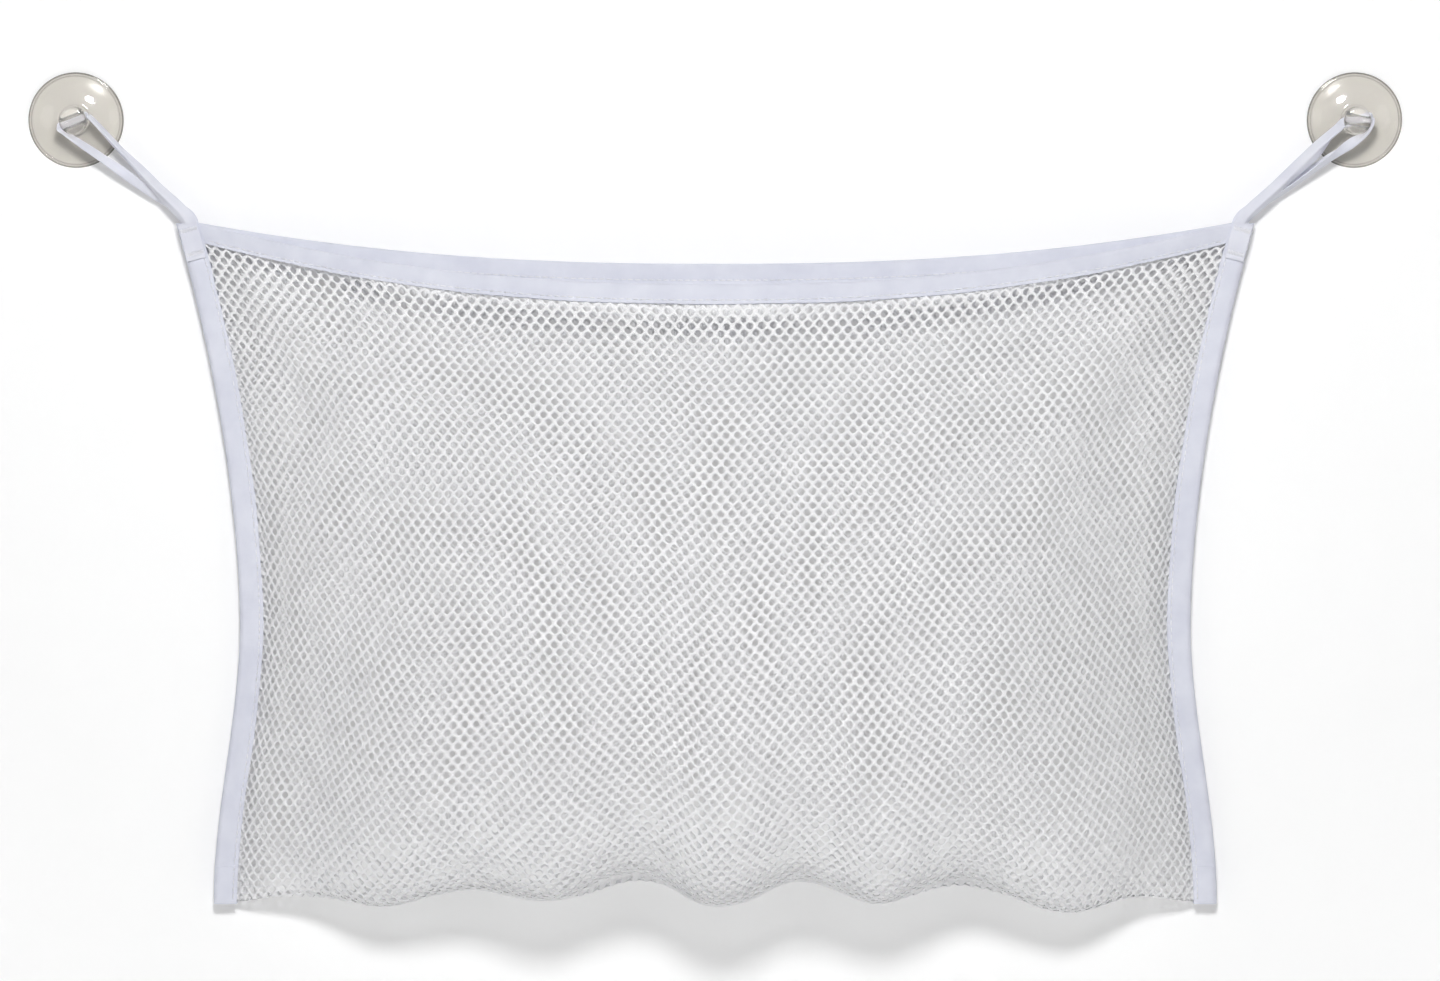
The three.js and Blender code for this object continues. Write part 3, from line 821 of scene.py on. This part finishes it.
def stitch_mesh(starts, ends, out, arch):
    """Short threads from start to end points, which arch out in their middle."""
    over = unit(np.cross(unit(ends - starts), out))
    faces = rod_faces(len(STITCH_SHAPE), STITCH_SIDES)
    blocks = []
    for start, end, aside, away in zip(starts, ends, over, out):
        ring = circle(aside, away, STITCH_SIDES) * THREAD_RADIUS
        rings = [lerp(start, end, share) + away * arch * rise + ring * girth
                 for share, rise, girth in STITCH_SHAPE]
        blocks.append((np.concatenate(rings), faces))
    return joined(blocks)


def seam_piece(name, line, half, width, skip):
    """The stitches on both faces of a tape, with the run at each vertex's stitch."""
    run = line.run
    first = np.arange(skip, run[-1] - skip - STITCH_LENGTH, STITCH_PITCH)
    centre = first + STITCH_LENGTH / 2
    middle = line.fold + (width - SEAM_INSET) * line.inward
    rise = np.reshape(half - GROOVE_DEPTH + SEAM_RISE, (-1, 1))
    blocks = []
    for face in (1, -1):
        thread = middle + face * rise * line.front
        starts, ends = places_at(first, run, thread), places_at(first + STITCH_LENGTH, run, thread)
        out = unit(places_at(centre, run, face * line.front))
        blocks.append(stitch_mesh(starts, ends, out, SEAM_ARCH))
    places = np.repeat(centre, len(STITCH_SHAPE) * STITCH_SIDES)
    return closed_object(name, *joined(blocks), "thread"), np.tile(places, len(blocks))


def tack_piece(side, label, drop):
    """A bar tack: close upright stitches across the ribbon's end, on both faces."""
    lean = unit(tab_point(side, -1, 0) - tab_point(side, -1, TAB_LENGTH))
    over = np.array([lean[2], 0, -lean[0]])
    places = np.linspace(-TACK_WIDTH / 2, TACK_WIDTH / 2, TACK_THREADS)[:, None]
    slip = ripple(TACK_RIPPLE, np.arange(TACK_THREADS))[:, None]
    blocks = []
    for face in (-1, 1):
        middle = tab_point(side, face, drop) + [0, face * RIBBON_SHEET / 2, 0]
        starts = middle + over * places + lean * (TACK_HEIGHT / 2 + slip)
        ends = middle + over * (places + TACK_SLANT) - lean * (TACK_HEIGHT / 2 - slip)
        out = np.tile([0.0, face, 0.0], (TACK_THREADS, 1))
        blocks.append(stitch_mesh(starts, ends, out, TACK_ARCH))
    return closed_object(f"{side.label}_{label}_tack_stitches", *joined(blocks), "thread")


# Ribbon loops

def tab_point(side, face, drop):
    """Middle of a sewn ribbon end on the binding's front (-1) or rear (1) face."""
    z = corner_z - drop
    out = binding_half(z) + CLEARANCE + RIBBON_THICKNESS / 2
    x = side.sign * (side_half_width(z) - BINDING_WIDTH / 2)
    return np.array([float(x), seam_y + face * float(out), z])


def loop_stations(side):
    """Middle, way of the width and fold along the ribbon, from front tab to rear tab."""
    hole = np.array([side.sign * CUP_SPACING / 2, -hole_height, 0.0])
    inward = -side.sign * np.array([math.cos(side.tilt), 0.0, math.sin(side.tilt)])
    flat, edge_on = (-side.sign, 0, 0), (0, 1, 0)
    slanted, leaning = (-side.sign * side.leg_face, 1, 0), (-side.sign * (1 + side.leg_face), 1, 0)
    upright = np.cross(edge_on, inward)
    turning = lerp(upright, np.array(edge_on), 0.5)

    def at_hole(reach, drop=0.0):
        return hole + reach * inward - [0, 0, drop]

    front_top, rear_top = tab_point(side, -1, -LOOP_TOP), tab_point(side, 1, -LOOP_TOP)
    leaving = at_hole(knob_radius + RIBBON_TURN, RIBBON_TURN)
    leg = unit((rear_top - hole) * [1, 0, 1])
    away = side.sign * np.array([-leg[2], 0, leg[0]])
    turned = hole + away * (knob_radius + CLEARANCE + LOOP_TURN_SHEETS * RIBBON_SHEET)
    low_front, high_front = (lerp(front_top, leaving, share) for share in FRONT_LEG_SHARES)
    high_rear, low_rear = (lerp(turned, rear_top, share) for share in REAR_LEG_SHARES)
    return [
        *((tab_point(side, -1, drop), flat, 0) for drop in TAB_DROPS),
        (front_top, flat, side.pinch),
        (low_front, leaning, side.corner_fold),
        (high_front, slanted, side.knob_fold),
        (leaving, slanted, DOUBLED),
        (at_hole(knob_radius), turning, DOUBLED),
        (at_hole(knob_radius / 2), upright, DOUBLED),
        (at_hole(-knob_radius / 2), upright, DOUBLED),
        (at_hole(-knob_radius), turning, DOUBLED),
        (at_hole(-knob_radius - RIBBON_TURN, RIBBON_TURN), edge_on, DOUBLED),
        (turned, edge_on, DOUBLED),
        (high_rear, slanted, side.knob_fold),
        (low_rear, leaning, side.corner_fold),
        (rear_top, flat, side.pinch),
        *((tab_point(side, 1, drop), flat, 0) for drop in TAB_DROPS[::-1]),
    ]


def centripetal(points, place):
    """Centripetal Catmull-Rom curve through points, at places counted in points."""
    padded = np.concatenate([[2 * points[0] - points[1]], points, [2 * points[-1] - points[-2]]])
    first, part = step_at(place, len(points))
    p = [padded[first + k] for k in range(4)]
    d = [np.linalg.norm(p[k + 1] - p[k], axis=-1, keepdims=True) ** 0.5 for k in range(3)]
    leave = (p[1] - p[0]) / d[0] - (p[2] - p[0]) / (d[0] + d[1]) + (p[2] - p[1]) / d[1]
    arrive = (p[2] - p[1]) / d[1] - (p[3] - p[1]) / (d[1] + d[2]) + (p[3] - p[2]) / d[2]
    return hermite(p[1], p[2], leave * d[1], arrive * d[1], part[:, None])


def folded_section(fold):
    """Ribbon section of the true width, folded lengthwise: flat at 0, doubled near pi."""
    t = np.linspace(-1, 1, RIBBON_COLUMNS)
    s = signed_power(t, RIBBON_CROWDING)
    heading = fold * (1 - smooth((s + CREASE_SHARE) / (2 * CREASE_SHARE)))
    step = np.diff(s) * RIBBON_WIDTH / 2
    turn = (heading[1:] + heading[:-1]) / 2
    moves = columns(step * np.cos(turn), step * np.sin(turn))
    line = np.concatenate([[(0, 0)], np.cumsum(moves, axis=0)])
    line -= line.mean(axis=0)
    out = columns(-np.sin(heading), np.cos(heading))
    thin = RIBBON_SHEET / 2 * (1 - RIBBON_EDGE_THIN * s ** RIBBON_EDGE_CURVE)[:, None]
    return np.concatenate([line + out * thin, (line - out * thin)[::-1]])


def loop_rings(side):
    """Rings of one whole ribbon, and their middles."""
    middles, ways, folds = (np.array(column, float) for column in zip(*loop_stations(side)))
    places = np.linspace(0, len(middles) - 1, RIBBON_RINGS)
    centres = centripetal(middles, places)
    along = unit(np.gradient(centres, axis=0))
    first, part = step_at(places, len(middles))
    part = smooth(part)
    rings = []
    for i in range(RIBBON_RINGS):
        across = lerp(ways[first[i]], ways[first[i] + 1], part[i])
        across = unit(across - (across @ along[i]) * along[i])
        up = np.cross(along[i], across) * side.sign
        section = folded_section(lerp(folds[first[i]], folds[first[i] + 1], part[i]))
        rings.append(centres[i] + np.outer(section[:, 0], across) + np.outer(section[:, 1], up))
    return np.array(rings), centres


def loop_pieces(side):
    """The ribbon at the knob, and its two legs with the sewn ends."""
    rings, centres = loop_rings(side)
    run = run_along(centres)
    over = np.linspace(0, RIBBON_WIDTH, RIBBON_COLUMNS)
    around = np.concatenate([over, over[::-1]])
    high = np.flatnonzero(centres[:, 2] > -LOOP_SPLIT_DROP)
    first, last = high[0], high[-1]
    cuts = (slice(first + 1), slice(first, last + 1), slice(last, None))
    front_leg, at_knob, rear_leg = ((rings[cut], run[cut], around) for cut in cuts)
    knob = sleeve_piece(f"{side.label}_loop_at_knob", [at_knob], "ribbon")
    return knob, sleeve_piece(f"{side.label}_loop_legs", [front_leg, rear_leg], "ribbon")


# Suction cups

def bezier(start, control, stop, steps):
    t = np.linspace(0, 1, steps)
    return np.outer((1 - t) ** 2, start) + np.outer(2 * t * (1 - t), control) + np.outer(t ** 2, stop)


def cup_profile():
    """Radius and height above the wall: hollow, flat rim, dome, fillet and knob."""
    rim = CUP_DIAMETER / 2
    hollow = rim - CUP_RIM_FACE
    neck = knob_radius + KNOB_FILLET
    groove = rim - BEAD_WIDTH
    top = CUP_RIM_HEIGHT
    return np.concatenate([
        bezier((0, CUP_HOLLOW), (hollow * HOLLOW_FULLNESS, CUP_HOLLOW), (hollow, 0), DOME_STEPS),
        [(rim - BEAD_ROUND, 0)],
        bezier((rim, BEAD_FOOT), (rim, top), (rim - BEAD_ROUND, top), BEAD_STEPS),
        bezier((rim - BEAD_LIP, top), (groove, top + BEAD_ROUND), (groove, top), BEAD_STEPS),
        bezier((groove - BEAD_ROUND / 2, top + BEAD_ROUND / 2), ((rim + neck) / 2, CUP_CROWN - top),
               (neck, CUP_CROWN), DOME_STEPS),
        bezier((neck, CUP_CROWN), (knob_radius, CUP_CROWN), (knob_radius, CUP_CROWN + KNOB_FILLET),
               KNOB_STEPS)[1:],
        bezier((knob_radius, knob_top - KNOB_EDGE_RADIUS), (knob_radius, knob_top),
               (knob_radius - KNOB_EDGE_RADIUS, knob_top), KNOB_STEPS),
        [(0, knob_top)],
    ])


def lathe(name, profile):
    """Solid of revolution about -Y, closed at both ends on the axis."""
    disc = circle((1, 0, 0), (0, 0, 1), CUP_SEGMENTS)
    rings = [radius * disc + (0, -height, 0) for radius, height in profile[1:-1]]
    count = len(rings)
    faces = ring_faces(count, CUP_SEGMENTS)
    points = np.concatenate([*rings, [(0, -profile[0][1], 0), (0, -profile[-1][1], 0)]])
    base = count * CUP_SEGMENTS
    last, top = base - CUP_SEGMENTS, base + 1
    for i in range(CUP_SEGMENTS):
        j = (i + 1) % CUP_SEGMENTS
        faces.append((base, j, i))
        faces.append((top, last + i, last + j))
    return closed_object(name, points, faces, "clear_pvc")


def hole_cutter(tilt):
    """Cylinder of the knob's tilted cross hole, wider at its mouths."""
    axis = np.array([math.cos(tilt), 0, math.sin(tilt)])
    over = np.array([-math.sin(tilt), 0, math.cos(tilt)])
    out = np.array([0, -1, 0])
    ring = circle(over, out, HOLE_SIDES)
    reach, inside = knob_radius + HOLE_OVERSHOOT, knob_radius - HOLE_FLARE_DEPTH
    narrow = HOLE_DIAMETER / 2
    wide = narrow + HOLE_FLARE
    places = ((-reach, wide), (-inside, narrow), (inside, narrow), (reach, wide))
    points = np.concatenate([hole_height * out + at * axis + radius * ring for at, radius in places])
    return closed_object("hole_cutter", points, rod_faces(len(places), HOLE_SIDES), "clear_pvc")


def cup_piece(side):
    cup = lathe(f"{side.label}_clear_cup", cup_profile())
    cutter = hole_cutter(-side.sign * side.tilt)
    cut = cup.modifiers.new("hole", "BOOLEAN")
    cut.object = cutter
    cut.operation = "DIFFERENCE"
    cut.solver = "EXACT"
    whole = bpy.data.meshes.new_from_object(cup.evaluated_get(bpy.context.evaluated_depsgraph_get()))
    cup.modifiers.clear()
    cup.data = whole
    bpy.data.objects.remove(cutter)
    whole.shade_smooth()
    whole.set_sharp_from_angle(angle=EDGE_ANGLE)
    cup.location.x = side.sign * CUP_SPACING / 2
    return cup


# Materials

class Nodes:
    """A node tree with short ways to add, set and join nodes."""

    def __init__(self, tree):
        self.tree = tree

    def add(self, kind, **settings):
        node = self.tree.nodes.new(kind)
        for name, value in settings.items():
            setattr(node, name, value)
        return node

    def put(self, value, socket):
        """Joins a node's output to a socket, or sets the socket itself."""
        if isinstance(value, bpy.types.NodeSocket):
            self.tree.links.new(value, socket)
        else:
            socket.default_value = value

    def feed(self, node, **values):
        for name, value in values.items():
            self.put(value, node.inputs[name.replace("_", " ")])
        return node

    def maths(self, operation, a, b):
        node = self.add("ShaderNodeMath", operation=operation)
        self.put(a, node.inputs[0])
        self.put(b, node.inputs[1])
        return node.outputs["Value"]

    def mix(self, share, first, second, output):
        """Sends two surfaces to an output, by the share of the second."""
        node = self.add("ShaderNodeMixShader")
        for value, socket in zip((share, first, second), node.inputs):
            self.put(value, socket)
        self.put(node.outputs["Shader"], self.tree.nodes[output].inputs["Surface"])

    def ray(self, kind):
        return self.add("ShaderNodeLightPath").outputs[f"Is {kind} Ray"]

    def seen_rays(self):
        """1 for rays from the camera, also by way of gloss or clear material."""
        seen = self.maths("MAXIMUM", self.ray("Camera"), self.ray("Glossy"))
        return self.maths("MAXIMUM", seen, self.ray("Transmission"))


class Shader(Nodes):
    """A material's node tree, with the textures that feed its surface."""

    def __init__(self, name):
        self.material = bpy.data.materials.new(name)
        self.material.use_nodes = True
        super().__init__(self.material.node_tree)
        self.surface = self.tree.nodes["Principled BSDF"]

    def set(self, **values):
        self.feed(self.surface, **values)

    def place(self):
        return self.add("ShaderNodeTexCoord").outputs["Object"]

    def distance(self, vector):
        node = self.add("ShaderNodeVectorMath", operation="LENGTH")
        self.put(vector, node.inputs[0])
        return node.outputs["Value"]

    def noise(self, scale, detail=3.0):
        node = self.add("ShaderNodeTexNoise")
        return self.feed(node, Scale=scale, Detail=detail, Vector=self.place()).outputs["Fac"]

    def wave(self, scale, direction, vector, distortion):
        node = self.add("ShaderNodeTexWave", wave_type="BANDS", bands_direction=direction)
        return self.feed(node, Scale=scale, Distortion=distortion, Vector=vector).outputs["Fac"]

    def ramp(self, value, stops):
        """Colour that runs through stops (place, colour) as a value rises."""
        node = self.add("ShaderNodeValToRGB")
        elements = node.color_ramp.elements
        for element, (at, colour) in zip((elements[0], elements[1]), (stops[0], stops[-1])):
            element.position = at
            element.color = (*colour, 1)
        for at, colour in stops[1:-1]:
            elements.new(at).color = (*colour, 1)
        return self.feed(node, Fac=value).outputs["Color"]

    def patches(self, low, high, scale):
        """Soft patches between two colours."""
        return self.ramp(self.noise(scale), tuple(zip(PATCH_ENDS, (low, high))))

    def grey_patches(self, low, high, scale):
        return self.patches((low, low, low), (high, high, high), scale)

    def bump(self, height, distance, strength=1.0):
        node = self.feed(self.add("ShaderNodeBump"), Height=height, Distance=distance, Strength=strength)
        self.set(Normal=node.outputs["Normal"])

    def see_through(self, share, colour):
        """Clear in a colour where the share is 1."""
        clear = self.feed(self.add("ShaderNodeBsdfTransparent"), Color=colour)
        self.mix(share, self.surface.outputs["BSDF"], clear.outputs["BSDF"], "Material Output")


def fabric(name, low, high, roughness, height, distance):
    """A textile finish: slightly uneven colour and roughness, and a fine relief."""
    shader = Shader(name)
    shader.set(Sheen_Weight=0.04, Sheen_Roughness=0.5, Specular_IOR_Level=0.3)
    shader.set(Base_Color=shader.patches(low, high, scale=90.0))
    shader.set(Roughness=shader.grey_patches(*roughness, scale=420.0))
    shader.bump(height(shader), distance)
    return shader.material


def weave_height(pitch_along, pitch_over):
    """Relief of a plain weave from the tape's own UV, in metres."""
    def height(shader):
        uv = shader.add("ShaderNodeUVMap", uv_map="Weave").outputs["UV"]
        warp = shader.wave(BAND_PITCH / pitch_along, "X", uv, distortion=0.4)
        weft = shader.wave(BAND_PITCH / pitch_over, "Y", uv, distortion=0.4)
        return shader.maths("ADD", shader.maths("MULTIPLY", warp, weft), shader.noise(scale=1500.0))
    return height


def yarn_height(scale):
    """Relief of twisted filaments: short slanted streaks."""
    def height(shader):
        streaks = shader.wave(scale, "DIAGONAL", shader.place(), distortion=2.0)
        return shader.maths("ADD", streaks, shader.noise(scale=2600.0))
    return height


def tint_with_painted_shade_and_light(shader):
    """Clear tint in the dome, with painted shade in dark rings at the knob's wall, the bead's groove and the
    rim, and painted light in a lighter tint inside the knob.
    """
    flat = shader.add("ShaderNodeVectorMath", operation="MULTIPLY")
    shader.put(shader.place(), flat.inputs[0])
    shader.put((1, 0, 1), flat.inputs[1])
    radius = shader.distance(flat.outputs["Vector"])
    return shader.ramp(shader.maths("DIVIDE", radius, CUP_DIAMETER / 2), CUP_TINT_PAINTED_SHADE_AND_LIGHT)


def soft_pvc():
    """Clear soft PVC, tinted, with painted shade and light in rings by radius, and of slightly uneven gloss.
    Lamps shine through it.
    """
    shader = Shader("soft_clear_pvc")
    # The base colour paints shade rings and a lighter knob by radius.
    shader.set(IOR=1.5, Transmission_Weight=1.0, Base_Color=tint_with_painted_shade_and_light(shader))
    shader.set(Roughness=shader.grey_patches(low=0.07, high=0.14, scale=180.0))
    shader.bump(shader.noise(scale=130.0, detail=2.0), distance=0.0001, strength=0.25)
    shader.see_through(shader.ray("Shadow"), colour=(0.90, 0.885, 0.86, 1))
    return shader.material


def make_materials():
    """Every finish by its slot."""
    return {
        "net": fabric("knitted_net", (0.87, 0.87, 0.885), (0.94, 0.94, 0.95), (0.62, 0.85),
                      yarn_height(620.0), 0.00006),
        "tape": fabric("woven_tape", (0.68, 0.695, 0.79), (0.75, 0.765, 0.85), (0.70, 0.86),
                       weave_height(0.0006, 0.0005), 0.00003),
        "ribbon": fabric("woven_ribbon", (0.70, 0.71, 0.80), (0.78, 0.79, 0.86), (0.45, 0.62),
                         weave_height(0.0005, 0.0010), 0.00003),
        "thread": fabric("sewing_thread", (0.78, 0.79, 0.85), (0.88, 0.88, 0.92), (0.45, 0.6),
                         yarn_height(900.0), 0.00005),
        "clear_pvc": soft_pvc(),
    }


# Stage, light and camera

def stage_shader(name, colour):
    shader = Shader(name)
    shader.set(Base_Color=colour, Roughness=0.9, Specular_IOR_Level=0.1, Emission_Color=WHITE)
    return shader


def lighten(shader, glow):
    """Lifts a stage surface towards white where it is seen."""
    shader.set(Emission_Strength=shader.maths("MULTIPLY", shader.seen_rays(), glow))


def wall_material():
    """Matt wall that glows more where the lamps are weak and isn't there from behind or for lamps."""
    shader = stage_shader("wall", colour=(0.96, 0.96, 0.96, 1))
    glow = shader.feed(
        shader.add("ShaderNodeMapRange"), Value=shader.distance(shader.place()),
        From_Min=0.38, From_Max=1.6, To_Min=0.09, To_Max=0.60)
    lighten(shader, glow.outputs["Result"])
    behind = shader.add("ShaderNodeNewGeometry").outputs["Backfacing"]
    shader.see_through(shader.maths("MAXIMUM", behind, shader.ray("Shadow")), WHITE)
    return shader.material


def floor_material():
    shader = stage_shader("floor", colour=(0.90, 0.90, 0.90, 1))
    lighten(shader, FLOOR_GLOW)
    return shader.material


def make_stage():
    w, f = WALL_HALF_WIDTH, FLOOR_HALF_WIDTH
    y, z, top = WALL_GAP, FLOOR_Z, FLOOR_Z + WALL_HEIGHT
    wall = [(-w, y, z), (w, y, z), (w, y, top), (-w, y, top)]
    floor = [(-f, -f, z), (f, -f, z), (f, f, z), (-f, f, z)]
    for name, corners, material in (("wall", wall, wall_material()), ("floor", floor, floor_material())):
        plane = mesh_object(name, corners, [(0, 1, 2, 3)], material)


def aimed(name, data, place, way):
    """A lamp or camera at a place, turned to look a way."""
    item = bpy.data.objects.new(name, data)
    item.location = place
    item.rotation_euler = way.to_track_quat("-Z", "Y").to_euler()
    bpy.context.scene.collection.objects.link(item)
    return item


def make_lamps():
    for name, place, size, power in LAMPS:
        data = bpy.data.lights.new(name, "AREA")
        data.shape = "DISK"
        data.size = size
        data.energy = power
        aimed(name, data, place, LAMP_TARGET - Vector(place))


def make_world():
    """Soft light from all round, which is white where it is seen."""
    world = bpy.data.worlds.new("studio")
    bpy.context.scene.world = world
    world.use_nodes = True
    nodes = Nodes(world.node_tree)
    soft = nodes.feed(world.node_tree.nodes["Background"], Color=WHITE, Strength=WORLD_LEVEL)
    seen = nodes.feed(nodes.add("ShaderNodeBackground"), Color=WHITE)
    nodes.mix(nodes.seen_rays(), soft.outputs["Background"], seen.outputs["Background"], "World Output")


def make_camera():
    data = bpy.data.cameras.new("camera")
    data.sensor_width = SENSOR_WIDTH
    data.lens = SENSOR_WIDTH * CAMERA_DISTANCE / (IMAGE_WIDTH * METRES_PER_PIXEL)
    back = Vector((0, -math.cos(CAMERA_ELEVATION), math.sin(CAMERA_ELEVATION)))
    bpy.context.scene.camera = aimed("camera", data, CAMERA_TARGET + back * CAMERA_DISTANCE, -back)


# The object

def dress(piece, slot, *nodes):
    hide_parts(*nodes)
    return piece


def make_nets():
    knit = Knit()
    fold, rear = knit.front_rows, knit.rear_rows
    rows = (0, fold // 2, fold, fold + rear // 2, fold + rear)
    runs = (("front_net", "upper"), ("front_net", "lower"), ("rear_net", "lower"), ("rear_net", "upper"))
    for (node, part), first, last in zip(runs, rows, rows[1:]):
        piece, over, down = net_piece(f"{node}_{part}", knit, first, last)
        dress(piece, "net", node)
        if first == 0:
            across = 2 * over / knit.columns - 1
            follow_mouth(piece, mouth_share(across, down * ROW_PITCH))
        else:
            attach(piece, "bag")


def make_hems():
    for label, panel in (("front", FRONT), ("rear", REAR)):
        tape, seam = hem_pieces(label, panel)
        dress(tape[0], "tape", f"{label}_hem")
        dress(seam[0], "thread", f"{label}_hem_stitching")
        for piece, across in (tape, seam):
            if panel is FRONT:
                follow_mouth(piece, mouth_share(across, 0))
            else:
                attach(piece, "bag")


def make_side(side):
    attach(dress(cup_piece(side), "clear_pvc", f"{side.label}_suction_cup"), "wall_cups")
    binding, seam = binding_pieces(side)
    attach(dress(binding, "tape", f"{side.label}_side_binding"), "bag")
    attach(dress(seam, "thread", f"{side.label}_side_stitching"), "bag")
    knob, legs = loop_pieces(side)
    for piece in (knob, legs):
        dress(piece, "ribbon", f"{side.label}_hanging_loop")
    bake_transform(knob, "wall_cups", "hanging_loops", start=(0, 0, KNOB_BEND_START), end=(0, 0, KNOB_BEND_END))
    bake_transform(legs, "hanging_loops", "bag", start=(0, 0, LEG_BEND_START), end=(0, 0, LEG_BEND_END))
    for label, drop in (("upper", TACK_INSET), ("lower", TAB_LENGTH - TACK_INSET)):
        tack = tack_piece(side, label, drop)
        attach(dress(tack, "thread", f"{side.label}_{label}_tack"), "bag")


bpy.context.scene.view_settings.view_transform = "Standard"
MATERIALS = make_materials()
make_camera()
make_lamps()
make_world()
make_stage()
make_nets()
make_hems()
for one_side in SIDES:
    make_side(one_side)
